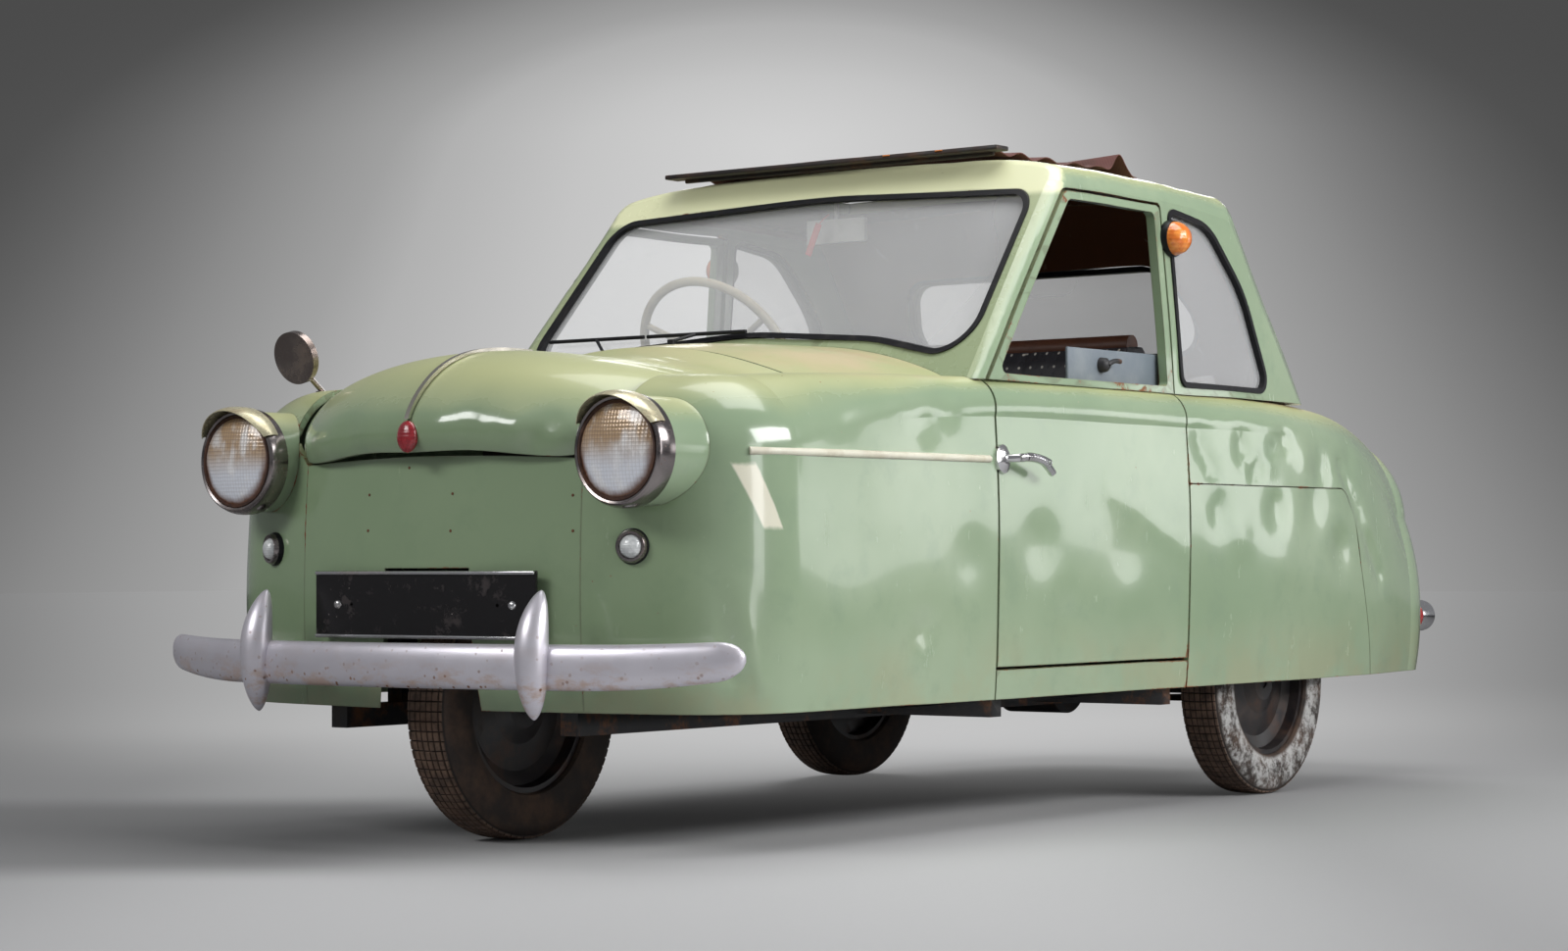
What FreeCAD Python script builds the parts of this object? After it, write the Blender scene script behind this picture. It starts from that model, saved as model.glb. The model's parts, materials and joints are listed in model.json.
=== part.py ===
import FreeCAD, Part
import math
import os

from FreeCAD import Vector

# Small three wheeled saloon: one steered front wheel, two driven rear wheels.
# Millimetres. X to the car's left, Y to the rear, Z up.
# Stations along Y are measured from a datum just ahead of the front axle.
# The saved origin is on the ground, at the middle of the overall length.

# ---------------------------------------------------------------- driving dimensions
FRONT_AXLE = 8.0
WHEELBASE = 1821.0
REAR_TRACK = 1110.0
TYRE_RADIUS = 246.0
TYRE_WIDTH = 104.0
RIM_RADIUS = 160.0
BUMPER_HALF_WIDTH = 702.0
FRONT_END = -358.0            # front face of the bumper
REAR_END = 2776.0             # back of the rear plate lamp
BODY_BOTTOM = 249.0
BELT_Z = 862.0                # top edge of the doors
SKIN = 14.0                   # wall of the body panels
DOOR_SKIN = 34.0              # whole door thickness
GAP = 6.0                     # round every panel that opens
SEAM = 2.0                    # between fixed panels
NOSE_SEAM = 0.3               # where the nose panel meets a wing
SEAT_GAP = 0.3                # between a lid and the buffer it rests on

DOOR_FRONT = 666.0
DOOR_REAR = 1386.0
DOOR_BOTTOM = 311.0
BONNET_REAR = 370.0
BONNET_LIP_Z = 704.0
NOSE_HALF_WIDTH = 341.0

CORNER_X = 440.0              # upright axis that a front corner turns about
CORNER_Y = 42.0
NOSE_SWEEP = 16.0             # degrees the nose turns between its middle and that corner
TAIL_CORNER_X = 392.0
TAIL_CORNER_Y = 2530.0
TAIL_SWEEP = 7.0

SCREEN_TOP_Y = 970.0          # windscreen plane: a point on it, and its rake
SCREEN_TOP_Z = 1253.0
SCREEN_RAKE = 0.865           # run per unit of rise
BACK_TOP_Y = 1750.0           # rear window plane
BACK_TOP_Z = 1280.0
BACK_RAKE = 0.71
ROOF_Z = 1345.0
DOOR_TOP = 1264.0
HINGE_LEVELS = (420.0, 690.0)
HINGE_X = 622.0               # inner edge of the door hinge leaves
PILLAR_RADIUS = 30.0
BACK_RADIUS = 60.0
ROOF_SKIN = 26.0

# Cross-sections of the lower body. Each row is one station:
# station, sill x, widest x, shoulder x and z, turn x and z, top edge x and z, crown z
WIDEST_Z = 540.0
BELOW_SHOULDER = 180.0        # least drop from the shoulder to the widest level
SECTIONS = (
    (CORNER_Y, 642.0, 650.0, 640.0, 712.0, 597.0, 806.0, CORNER_X, 842.0, 846.0),
    (DOOR_FRONT, 642.0, 654.0, 646.0, 790.0, 632.0, 846.0, 588.0, 868.0, 880.0),
    (DOOR_REAR, 642.0, 656.0, 650.0, 790.0, 636.0, 846.0, 588.0, 868.0, 876.0),
    (2040.0, 634.0, 646.0, 634.0, 766.0, 608.0, 828.0, 524.0, 857.0, 892.0),
    (TAIL_CORNER_Y, 582.0, 594.0, 560.0, 608.0, 524.0, 724.0, TAIL_CORNER_X, 814.0, 818.0),
)

# Cross-sections of the cabin, each from the belt up. Each row:
# station, belt x, eaves x and z, bend x, drop of the bend, roof edge x, crown z
CABIN_ROWS = (
    (560.0, 630.0, 588.0, 1268.0, 536.0, 30.0, 290.0, 1340.0),
    (1000.0, 626.0, 588.0, 1268.0, 536.0, 30.0, 290.0, 1346.0),
    (1420.0, 621.0, 587.0, 1268.0, 534.0, 30.0, 290.0, 1349.0),
    (1760.0, 609.0, 573.0, 1246.0, 518.0, 30.0, 280.0, 1338.0),
    (2200.0, 566.0, 530.0, 1170.0, 470.0, 34.0, 260.0, 1280.0),
)

# Bonnet, as side views at several widths. Each row:
# x, lip y and z, nose y and z, knee y and z, height at the bend station, height at the rear
BONNET_BEND = 60.0
BONNET_ROWS = (
    (0.0, -261.0, 714.0, -277.0, 756.0, -178.0, 873.0, 908.0, 935.0),
    (200.0, -238.0, 710.0, -253.0, 752.0, -160.0, 861.0, 894.0, 916.0),
    (325.0, -198.0, 704.0, -207.0, 744.0, -124.0, 838.0, 868.0, 884.0),
    (395.0, -122.0, 768.0, -123.0, 784.0, -84.0, 820.0, 848.0, 858.0),
)
SCUTTLE_EDGE = 413.0          # half width of the scuttle dome where the bonnet ends
SCUTTLE_WIDE = 572.0          # and at the windscreen
SCUTTLE_RIM = 874.0           # height of the dome's edge there
SCUTTLE_TOP = 955.0
SCUTTLE_END = 705.0

SKIRT_TOP = 672.0
SKIRT_BACK = 2266.0
BOOT_HALF = 345.0
BOOT_FRONT = 2150.0
BOOT_LOW = 548.0
SUNROOF_HALF = 400.0
SUNROOF_FRONT = 1040.0
SUNROOF_REAR = 1620.0
SUNROOF_BAR_HALF = 435.0

BUMPER_SWEEP = 150.0
BUMPER_DEPTH = 30.0
BUMPER_HEIGHT = 80.0
BUMPER_Z = 334.0
OVERRIDER_X = 338.0
# height, set back from the bumper's face, half width and half depth
OVERRIDER_ROWS = (
    (242.0, 8.0, 9.0, 8.0),
    (262.0, 4.0, 24.0, 20.0),
    (334.0, -4.0, 31.0, 27.0),
    (400.0, 2.0, 27.0, 24.0),
    (450.0, 12.0, 16.0, 17.0),
    (467.0, 18.0, 6.0, 7.0),
)
RAIL_X = 284.0
RAIL_LOW = 206.0
RAIL_TOP = BODY_BOTTOM
RAIL_FRONT = -170.0
RAIL_REAR = 1640.0
CROSS_STATIONS = (320.0, 1000.0, 1600.0)
OUTRIGGER_STATIONS = (700.0, 1340.0)
OUTRIGGER_X = 620.0
SPRING_X = 420.0
SPRING_REACH = 440.0
SPRING_WIDTH = 44.0
SPRING_THICKNESS = 14.0
AXLE_RADIUS = 30.0
STUB_RADIUS = 15.0
KINGPIN_RADIUS = 14.0
FORK_TOP = 524.0
HEAD_TOP = 610.0

LAMP_X = 469.0
LAMP_Z = 708.0
LAMP_RADIUS = 101.0
LENS_RADIUS = 86.0
BOWL_RADIUS = 82.0
NACELLE_RADIUS = 96.0
LAMP_FRONT = -246.0
LAMP_BACK = -212.0
SIDE_LAMP_X = 460.0
SIDE_LAMP_Z = 542.0
SIDE_LAMP_FRONT = -214.0
TAIL_LAMP_X = 530.0
TAIL_LAMP_Z = 377.0
TAIL_LAMP_BACK = 2712.0
AMBER_X = 606.0               # where its lens starts
AMBER_Y = 1424.0
AMBER_Z = 1190.0
STRIP_START = -63.0
STRIP_END = 640.0
STRIP_Z = 708.0
PLATE_HALF = 271.0
PLATE_LOW = 377.0
PLATE_TOP = 500.0
PLATE_HOLE_X = 180.0
PLATE_HOLE_RADIUS = 3.25
REAR_PLATE_HALF = 250.0
REAR_PLATE_LOW = 345.0
EMBLEM_Z = 742.0
HANDLE_X = 690.0              # centre of the lever
HANDLE_Y = 715.0
HANDLE_Z = 709.0
MIRROR_X = 500.0
MIRROR_Y = 11.0
WIPERS = ((-330.0, -400.0), (-150.0, -130.0))    # pivot and middle of the blade
WIPER_Z = 985.0
STEER_X = -290.0
STEER_Y = 1000.0
STEER_Z = 950.0
STEER_RADIUS = 190.0
STEER_TILT = 60.0             # degrees the steering column leans from upright

BULKHEAD_Y = 612.0
SHEET = 10.0                  # floor, bulkhead and inner arch plates
TRAY_Z = 410.0                # underside of the luggage floor
SEAT_FRONT = 860.0
SEAT_REAR = 1290.0
SEAT_HALF = 520.0
SEAT_LOW = 400.0
SEAT_TOP = 520.0
REAR_SEAT_HALF = 450.0
ARCH_X = 455.0                # inner face of the rear wheel boxes
ARCH_TOP = 560.0
FLOOR_HALF = 598.0
REAR_TRAY_FRONT = 1470.0
ENGINE_HALF = 150.0
ENGINE_FRONT = 285.0
DASH_HALF = 530.0

SAVED_Y = (FRONT_END + REAR_END) / 2
SIDES = ((1, "left"), (-1, "right"))


# ---------------------------------------------------------------- shape helpers
def box(x0, x1, y0, y1, z0, z1):
    return Part.makeBox(x1 - x0, y1 - y0, z1 - z0, Vector(x0, y0, z0))


def rod(start, end, radius):
    axis = Vector(*end) - Vector(*start)
    return Part.makeCylinder(radius, axis.Length, Vector(*start), axis)


def tube(start, end, outer, inner):
    return rod(start, end, outer).cut(rod(start, end, inner))


def line(a, b):
    return Part.makeLine(a, b)


def arc(a, middle, b):
    return Part.Arc(a, middle, b).toShape()


def outline(points):
    return Part.makePolygon(points + points[:1])


def slab(points, depth):
    """A flat outline given as vectors, pushed along a vector."""
    return Part.Face(outline(points)).extrude(depth)


def side_slab(points, x0, x1):
    """An outline in side view, as (y, z) pairs, between two widths."""
    return slab([Vector(x0, y, z) for y, z in points], Vector(x1 - x0, 0, 0))


def mirrored(shape):
    return shape.mirror(Vector(0, 0, 0), Vector(1, 0, 0))


def on_side(shape, side):
    return shape if side > 0 else mirrored(shape)


def fused(shapes):
    return shapes[0].multiFuse(shapes[1:]).removeSplitter() if len(shapes) > 1 else shapes[0]


def save(name, *shapes):
    """Write one node, with its solids moved from the axle stations to the saved origin."""
    solids = [solid for shape in shapes for solid in shape.Solids]
    node = solids[0] if len(solids) == 1 else Part.makeCompound(solids)
    node = node.translated(Vector(0, -SAVED_Y, 0))
    node.exportStep("parts/%s.step" % name)


# ---------------------------------------------------------------- lower body
def side_curve(row, inset, at):
    """One side of a cross-section, from the sill up to its top edge, as three edges."""
    _, sill, widest, shoulder_x, shoulder_z, turn_x, turn_z, top_x, top_z, _ = row
    bottom = at(sill - inset, BODY_BOTTOM)
    shoulder = at(shoulder_x - inset, shoulder_z)
    top = at(top_x, top_z - inset)
    lean = 0.72 * inset
    widest_z = min(WIDEST_Z, shoulder_z - BELOW_SHOULDER)
    flank = arc(bottom, at(widest - inset, widest_z), shoulder)
    return [flank, arc(shoulder, at(turn_x - lean, turn_z - lean), top)], bottom, top


def cross_section(row, inset):
    station, crown = row[0], row[-1]
    left, left_bottom, left_top = side_curve(row, inset, lambda x, z: Vector(x, station, z))
    right, right_bottom, right_top = side_curve(row, inset, lambda x, z: Vector(-x, station, z))
    top = arc(left_top, Vector(0, station, crown - inset), right_top)
    floor = line(right_bottom, left_bottom)
    return Part.Wire(Part.__sortEdges__(left + [top] + right + [floor]))


def corner_block(row, inset, axis_x, axis_y, sweep, forward):
    """The body beyond its first or last section: that section's side, turned round each corner
    and then across the middle on a wide curve."""
    heading = -1 if forward else 1
    curve, bottom, top = side_curve(row, inset, lambda x, z: Vector(x, axis_y, z))
    foot = Vector(axis_x, axis_y, BODY_BOTTOM)
    profile = curve + [line(top, foot), line(foot, bottom)]
    face = Part.Face(Part.Wire(Part.__sortEdges__(profile)))
    corner = face.revolve(Vector(axis_x, axis_y, 0), Vector(0, 0, 1), heading * (90 - sweep))
    reach = axis_x / math.sin(math.radians(sweep))
    far_y = axis_y - heading * reach * math.cos(math.radians(sweep))
    turned = face.rotated(Vector(axis_x, axis_y, 0), Vector(0, 0, 1), heading * (90 - sweep))
    across = turned.revolve(Vector(0, far_y, 0), Vector(0, 0, 1), heading * 2 * sweep)
    core_foot = [Vector(axis_x, axis_y, BODY_BOTTOM), Vector(-axis_x, axis_y, BODY_BOTTOM)]
    middle = arc(core_foot[0],
                 Vector(0, far_y + heading * reach, BODY_BOTTOM), core_foot[1])
    core = Part.Face(Part.Wire([middle, line(core_foot[1], core_foot[0])]))
    core = core.extrude(Vector(0, 0, top.z - BODY_BOTTOM))
    return fused([corner, across, core, mirrored(corner)])


def lower_body(inset):
    middle = Part.makeLoft([cross_section(row, inset) for row in SECTIONS], True, False)
    nose = corner_block(SECTIONS[0], inset, CORNER_X, CORNER_Y, NOSE_SWEEP, True)
    tail = corner_block(SECTIONS[-1], inset, TAIL_CORNER_X, TAIL_CORNER_Y, TAIL_SWEEP, False)
    return middle, nose, tail


# ---------------------------------------------------------------- cabin
def cabin_section(row, inset):
    station, belt_x, eaves_x, eaves_z, bend_x, drop, edge_x, crown = row
    in_x, in_z = 0.9 * inset, 0.6 * inset
    halves = []
    for side in (1, -1):
        belt = Vector(side * (belt_x - inset), station, BELT_Z)
        eaves = Vector(side * (eaves_x - inset), station, eaves_z - 0.3 * inset)
        bend = Vector(side * (bend_x - 0.35 * inset), station, crown - drop - in_x)
        edge = Vector(side * edge_x, station, crown - 6 - inset)
        low = Vector(side * (bend_x + 0.70 * (eaves_x - bend_x) - in_z), station,
                     crown - drop - 0.34 * (crown - drop - eaves_z) - in_z)
        high = (bend + edge) * 0.5 + Vector(0, 0, 7)
        halves.append((belt, eaves, low, bend, high, edge))
    left, right = halves
    edges = [line(left[0], left[1]), arc(left[1], left[2], left[3]), arc(left[3], left[4], left[5]),
             arc(left[5], Vector(0, station, crown - inset), right[5]),
             arc(right[5], right[4], right[3]), arc(right[3], right[2], right[1]),
             line(right[1], right[0]), line(right[0], left[0])]
    return Part.Wire(edges)


def screen_y(z):
    return SCREEN_TOP_Y - SCREEN_RAKE * (SCREEN_TOP_Z - z)


def back_y(z):
    return BACK_TOP_Y + BACK_RAKE * (BACK_TOP_Z - z)


def chain_at(solid, plane_y, z_low):
    """Edges of the solid that lie in a raked plane, above its lowest level."""
    found = []
    for edge in solid.Edges:
        ends = [vertex.Point for vertex in edge.Vertexes]
        middle = edge.valueAt((edge.FirstParameter + edge.LastParameter) / 2)
        points = ends + [middle]
        if all(abs(p.y - plane_y(p.z)) < 0.5 for p in points) and max(p.z for p in points) > z_low:
            found.append(edge)
    return found


def cabin(inset, rounded=False):
    """The glasshouse as one solid, drawn in by an inset on every side but its floor."""
    tunnel = Part.makeLoft([cabin_section(row, inset) for row in CABIN_ROWS], True, False)
    front_set = inset * math.hypot(1, SCREEN_RAKE)
    back_set = inset * math.hypot(1, BACK_RAKE)

    def front_plane(z):
        return screen_y(z) + front_set

    def back_plane(z):
        return back_y(z) - back_set

    low, high = BELT_Z - 50, ROOF_Z + 100
    keep = side_slab([(front_plane(low), low), (back_plane(low), low),
                      (back_plane(high), high), (front_plane(high), high)], -800, 800)
    body = tunnel.common(keep).Solids[0]
    if not rounded:
        return body
    body = body.makeFillet(BACK_RADIUS, chain_at(body, back_plane, BELT_Z + 5))
    return body.makeFillet(PILLAR_RADIUS, chain_at(body, front_plane, BELT_Z + 5))


def rounded_outline(points, radii):
    """A closed outline with each corner rounded by its own radius. Points are vectors."""
    count = len(points)
    edges, joints = [], []
    for i, (point, radius) in enumerate(zip(points, radii)):
        back = (points[i - 1] - point).normalize()
        ahead = (points[(i + 1) % count] - point).normalize()
        half = back.getAngle(ahead) / 2
        cut = radius / math.tan(half)
        centre = point + (back + ahead).normalize() * (radius / math.sin(half))
        nearest = centre + (point - centre).normalize() * radius
        joints.append((point + back * cut, nearest, point + ahead * cut))
    for i, (start, nearest, end) in enumerate(joints):
        edges.append(arc(start, nearest, end))
        edges.append(line(end, joints[(i + 1) % count][0]))
    return Part.Wire(edges)


def prism(points, radii, shrink, depth):
    """A rounded outline, drawn in by a margin, pushed along a vector."""
    face = Part.Face(rounded_outline(points, radii))
    if shrink:
        face = face.makeOffset2D(-shrink)
    return face.extrude(depth)


def front_view(points, y):
    return [Vector(x, y, z) for x, z in points]


def side_view(points, x):
    return [Vector(x, y, z) for y, z in points]


# ---------------------------------------------------------------- windows, drawn in flat views
SCREEN_POINTS = ((-578, 898), (-330, 950), (0, 974), (330, 950), (578, 898), (545, 1262),
                 (0, 1284), (-545, 1262))
SCREEN_RADII = (75, 500, 900, 500, 75, 60, 3000, 60)
BACK_LIGHT = ((-430, 975), (430, 975), (345, 1175), (-345, 1175))
BACK_LIGHT_RADII = (80, 80, 80, 80)
QUARTER_LIGHT = ((1413, 877), (1835, 877), (1742, 1098), (1596, 1236), (1413, 1258))
QUARTER_RADII = (26, 40, 260, 150, 26)
RUBBER = 11.0                 # width of a window's rubber
RUBBER_PROUD = 4.0            # how far it stands out of the cabin wall
GROOVE = 5.0                  # depth of the groove that holds the glass


def screen_prism(shrink):
    return prism(front_view(SCREEN_POINTS, 500), SCREEN_RADII, shrink, Vector(0, 600, 0))


def back_prism(shrink):
    return prism(front_view(BACK_LIGHT, 1700), BACK_LIGHT_RADII, shrink, Vector(0, 500, 0))


def quarter_prism(shrink):
    return prism(side_view(QUARTER_LIGHT, 500), QUARTER_RADII, shrink, Vector(200, 0, 0))


def door_frame_front(z):
    """Front edge of the door's window frame, just behind the windscreen pillar's corner."""
    return screen_y(z) + 26.0


def window_front(z):
    return door_frame_front(z) + 38.0


# ---------------------------------------------------------------- bonnet and scuttle
def bonnet_profile(row, grow):
    """Side view of the bonnet at one width, as its outer edges and their two ends."""
    x, lip_y, lip_z, nose_y, nose_z, knee_y, knee_z, bend_z, rear_z = row
    lip = Vector(x, lip_y - grow, lip_z)
    nose = Vector(x, nose_y - grow, nose_z)
    knee = Vector(x, knee_y - 0.6 * grow, knee_z + 0.8 * grow)
    upper = Vector(x, 0.55 * nose_y + 0.45 * knee_y - 0.14 * (knee_z - nose_z) - 0.9 * grow,
                   0.5 * nose_z + 0.5 * knee_z + 0.5 * grow)
    bend = Vector(x, BONNET_BEND, bend_z + grow)
    rear = Vector(x, BONNET_REAR, rear_z + grow)
    curve = Part.BSplineCurve()
    curve.interpolate([lip, nose, upper, knee, bend, rear])
    return [curve.toShape()], lip, rear


def bonnet_section(row):
    outer, lip, rear = bonnet_profile(row, 0)
    inner, lip_in, rear_in = bonnet_profile(row, -SKIN)
    closing = [line(lip, lip_in), line(rear, rear_in)]
    return Part.Wire(Part.__sortEdges__(outer + inner + closing))


def bonnet_rows():
    mirror_rows = [(-row[0],) + row[1:] for row in reversed(BONNET_ROWS[1:])]
    return mirror_rows + list(BONNET_ROWS)


def dome_section(station, half, edge_z, crown_z, drop):
    left, right = Vector(half, station, edge_z - drop), Vector(-half, station, edge_z - drop)
    top = arc(left, Vector(0, station, crown_z - drop), right)
    low = [Vector(-half, station, 780), Vector(half, station, 780)]
    return Part.Wire([top, line(right, low[0]), line(low[0], low[1]), line(low[1], left)])


def scuttle_dome(drop):
    start, end = BONNET_REAR + GAP, SCUTTLE_END
    rows = ((start, SCUTTLE_EDGE, 852.0, 935.0),
            ((start + end) / 2, (SCUTTLE_EDGE + SCUTTLE_WIDE) / 2, 864.0, 950.0),
            (end, SCUTTLE_WIDE, SCUTTLE_RIM, SCUTTLE_TOP))
    return Part.makeLoft([dome_section(*row, drop) for row in rows], True, False)


def bonnet_opening():
    """What the bonnet and its gap take out of the wings, seen from the front."""
    half, nose = BONNET_ROWS[-1][0] + GAP, NOSE_HALF_WIDTH
    low, side_z = BONNET_LIP_Z - GAP, BONNET_ROWS[-1][2] - 3 * GAP
    points = [(-half, 1100), (-half, side_z), (-nose, low), (nose, low), (half, side_z), (half, 1100)]
    return slab(front_view(points, -400), Vector(0, 400 + BONNET_REAR + GAP, 0))


def scuttle_opening():
    start, end = BONNET_REAR + GAP - 1, SCUTTLE_END
    near, wide = SCUTTLE_EDGE + SEAM, SCUTTLE_WIDE + SEAM
    points = [(-near, start), (near, start), (wide, end), (wide, end + 15), (-wide, end + 15),
              (-wide, end)]
    return slab([Vector(x, y, 700) for x, y in points], Vector(0, 0, 400))


# ---------------------------------------------------------------- body panels
def door_outline(gap, x0, x1):
    """Side view of the door's opening above the belt, drawn in by a gap."""
    low, top = BELT_Z - 40.0, DOOR_TOP - gap
    rear = DOOR_REAR + GAP / 2 - gap
    front_low = door_frame_front(BELT_Z) + 2 * gap
    points = side_view(((front_low, BELT_Z), (door_frame_front(top) + 2 * gap, top), (rear, top),
                        (rear, low), (front_low, low)), x0)
    return prism(points, (2, 30, 15, 2, 2), 0, Vector(x1 - x0, 0, 0))


def door_window(x0, x1):
    low, top, rear = BELT_Z + 14.0, DOOR_TOP - 22.0, DOOR_REAR - 26.0
    points = side_view(((window_front(low), low), (window_front(top), top), (rear, top),
                        (rear, low)), x0)
    return prism(points, (12, 24, 14, 12), 0, Vector(x1 - x0, 0, 0))


def skirt_zone(margin):
    """Side view of the panel that hides a rear wheel, grown by a margin at its top and back."""
    top, back = SKIRT_TOP + margin, margin
    low = BODY_BOTTOM - 5
    front = DOOR_REAR + GAP / 2 - margin
    points = side_view(((front, low), (front, top), (2120 + back, top), (2168 + back, SKIRT_TOP - 70),
                        (SKIRT_BACK + back, low)), 480)
    return prism(points, (1, 1, 60, 120, 1), 0, Vector(320, 0, 0))


def boot_zone(margin):
    return box(-BOOT_HALF - margin, BOOT_HALF + margin, BOOT_FRONT - margin, 2900,
               BOOT_LOW - margin, 1000)


def panels():
    outer = fused(list(lower_body(0.0)))
    seat = fused(list(lower_body(-SEAT_GAP)))
    shell = outer.cut(fused(list(lower_body(SKIN))))
    thick = lower_body(DOOR_SKIN)[0]
    dome = scuttle_dome(0.0)
    glasshouse = cabin(0.0, rounded=True)
    hollow = cabin(ROOF_SKIN)

    nose = shell.common(nose_zone()).cut(wheel_sweep())
    save("nose_panel", nose.cut(fused(plate_holes())))

    wing_zone = box(NOSE_HALF_WIDTH, 800, -400, DOOR_FRONT - GAP / 2, 200, 1000)
    wing = shell.common(wing_zone).cut(bonnet_opening()).cut(scuttle_opening())
    back = LAMP_BACK + SEAT_GAP
    nacelle = tube((LAMP_X, back, LAMP_Z), (LAMP_X, 60, LAMP_Z), NACELLE_RADIUS, BOWL_RADIUS + 2)
    wing = wing.fuse(nacelle.cut(outer)).cut(
        rod((LAMP_X, -400, LAMP_Z), (LAMP_X, 60, LAMP_Z), BOWL_RADIUS + 2))
    wing = wing.cut(rod((LAMP_X, -400, LAMP_Z), (LAMP_X, back, LAMP_Z), LAMP_RADIUS + SEAT_GAP))
    bonnet = Part.makeLoft([bonnet_section(row) for row in bonnet_rows()], True, False)
    save("bonnet_panel", bonnet)
    save_pair("front_wing", wing.fuse(bonnet_rest(bonnet, outer)))
    scuttle = dome.cut(scuttle_dome(SKIN)).cut(box(-800, 800, 300, 800, 700, 790))
    save("scuttle_panel", scuttle)

    roof = glasshouse.cut(hollow).cut(outer).cut(dome)
    roof = roof.cut(screen_prism(0)).cut(back_prism(0)).cut(quarter_prism(0))
    roof = roof.cut(mirrored(quarter_prism(0)))
    for side, _ in SIDES:
        roof = roof.cut(on_side(door_outline(0.0, 200, 800), side))
    roof = roof.cut(box(-SUNROOF_HALF + 60, SUNROOF_HALF - 60, SUNROOF_FRONT + 60,
                        SUNROOF_REAR - 60, 1290, 1500))
    save("roof_shell", roof)

    lower_door = outer.cut(thick).common(
        box(582, 800, DOOR_FRONT + GAP / 2, DOOR_REAR - GAP / 2, DOOR_BOTTOM, 1000))
    frame = glasshouse.cut(cabin(20.0)).common(door_outline(GAP, 500, 800))
    save_pair("door", lower_door.fuse(frame.cut(door_window(500, 800))))

    sill = outer.common(box(600, 800, DOOR_FRONT + 1, DOOR_REAR - 1, BODY_BOTTOM,
                            DOOR_BOTTOM - GAP))
    save("sills", sill, mirrored(sill))

    rear_zone = box(-800, 800, DOOR_REAR + GAP / 2, 2900, 200, 1000)
    rear = shell.common(rear_zone)
    low_leaf, high_leaf = [hinge_block(level, outer) for level in HINGE_LEVELS]
    skirt = shell.common(skirt_zone(0.0)).fuse(low_leaf)
    save("rear_skirts", skirt, mirrored(skirt))
    boot = shell.common(boot_zone(0.0))
    save("boot_lid", boot)
    for side, _ in SIDES:
        rear = rear.cut(on_side(skirt_zone(SEAM), side))
    rear = rear.cut(boot_zone(GAP)).cut(hollow.translated(Vector(0, 0, -70)))
    save("rear_body", fused([rear, high_leaf, mirrored(high_leaf)] + boot_rests(boot, outer)))
    return seat, bonnet


def nose_zone():
    """The nose panel seen from the front: its top edge follows the arched lip of the bonnet."""
    half, level = NOSE_HALF_WIDTH - NOSE_SEAM, BONNET_LIP_Z - GAP
    left, right = Vector(-half, -400, level), Vector(half, -400, level)
    low = [Vector(half, -400, BODY_BOTTOM), Vector(-half, -400, BODY_BOTTOM)]
    top = arc(left, Vector(0, -400, level + BONNET_ROWS[0][2] - BONNET_LIP_Z), right)
    wire = Part.Wire([top, line(right, low[0]), line(low[0], low[1]), line(low[1], left)])
    return Part.Face(wire).extrude(Vector(0, 400 + CORNER_Y, 0))


def plate_holes():
    """The two bolt holes of the number plate, which run on through the nose panel."""
    level = (PLATE_LOW + PLATE_TOP) / 2
    return [rod((side * PLATE_HOLE_X, -400, level), (side * PLATE_HOLE_X, -100, level),
                PLATE_HOLE_RADIUS) for side, _ in SIDES]


def bonnet_rest(bonnet, outer):
    """The wing's inner side panel and ledge, with the rubber buffer that carries the bonnet."""
    side_x = BONNET_ROWS[-1][0] + GAP + SEAM
    level = BONNET_ROWS[-1][6] - 30
    apron = box(side_x, side_x + 6, 60, BONNET_REAR, level - 150, 900).common(outer)
    ledge = box(side_x - 50, side_x + 6, 60, BONNET_REAR, level - 6, level)
    buffer = rod((side_x - 30, BONNET_REAR - 40, level), (side_x - 30, BONNET_REAR - 40, 900), 10)
    buffer = buffer.cut(bonnet.translated(Vector(0, 0, -SEAT_GAP)))
    return fused([apron, ledge, lowest_solid(buffer)])


def lowest_solid(shape):
    return min(shape.Solids, key=lambda solid: solid.CenterOfMass.z)


def boot_rests(boot, outer):
    """Two stops inside the tail that the lower edge of the boot lid closes against."""
    stops = []
    for x in (-0.6 * BOOT_HALF, 0.6 * BOOT_HALF):
        block = box(x - 15, x + 15, REAR_END - 80, REAR_END, BOOT_LOW - 40, BOOT_LOW + 30)
        block = block.common(outer).cut(boot.translated(Vector(0, -SEAT_GAP, 0))).cut(boot)
        stops.append(block.common(box(-800, 800, 2000, 3000, 0, BOOT_LOW + 28)))
    return stops


def hinge_block(level, outer):
    """A hinge leaf on the left rear door post, close behind the door's rear face."""
    leaf = box(HINGE_X, HINGE_X + 22, DOOR_REAR - GAP / 2 + SEAT_GAP, DOOR_REAR + GAP / 2 + 12,
               level, level + 50)
    return leaf.common(outer)


def wheel_sweep():
    """The room the front wheel needs as it steers."""
    reach = math.hypot(TYRE_RADIUS, TYRE_WIDTH / 2) + 6
    return rod((0, FRONT_AXLE, 0), (0, FRONT_AXLE, 505), reach)


# ---------------------------------------------------------------- glass and its rubbers
def windows():
    sheet = cabin(9.0).cut(cabin(14.0))
    lap = RUBBER - GROOVE
    screen = sheet.common(screen_prism(lap))
    back, side_light = sheet.common(back_prism(lap)), sheet.common(quarter_prism(lap))
    save("windscreen_glass", screen)
    save("rear_glass", back, side_light, mirrored(side_light))
    thick = cabin(-RUBBER_PROUD).cut(cabin(22.0))
    screen_rubber = thick.common(screen_prism(0).cut(screen_prism(RUBBER))).cut(screen)
    side_rubber = thick.common(quarter_prism(0).cut(quarter_prism(RUBBER))).cut(side_light)
    back_rubber = thick.common(back_prism(0).cut(back_prism(RUBBER))).cut(back)
    save("window_rubbers", screen_rubber, back_rubber, side_rubber, mirrored(side_rubber))


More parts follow.
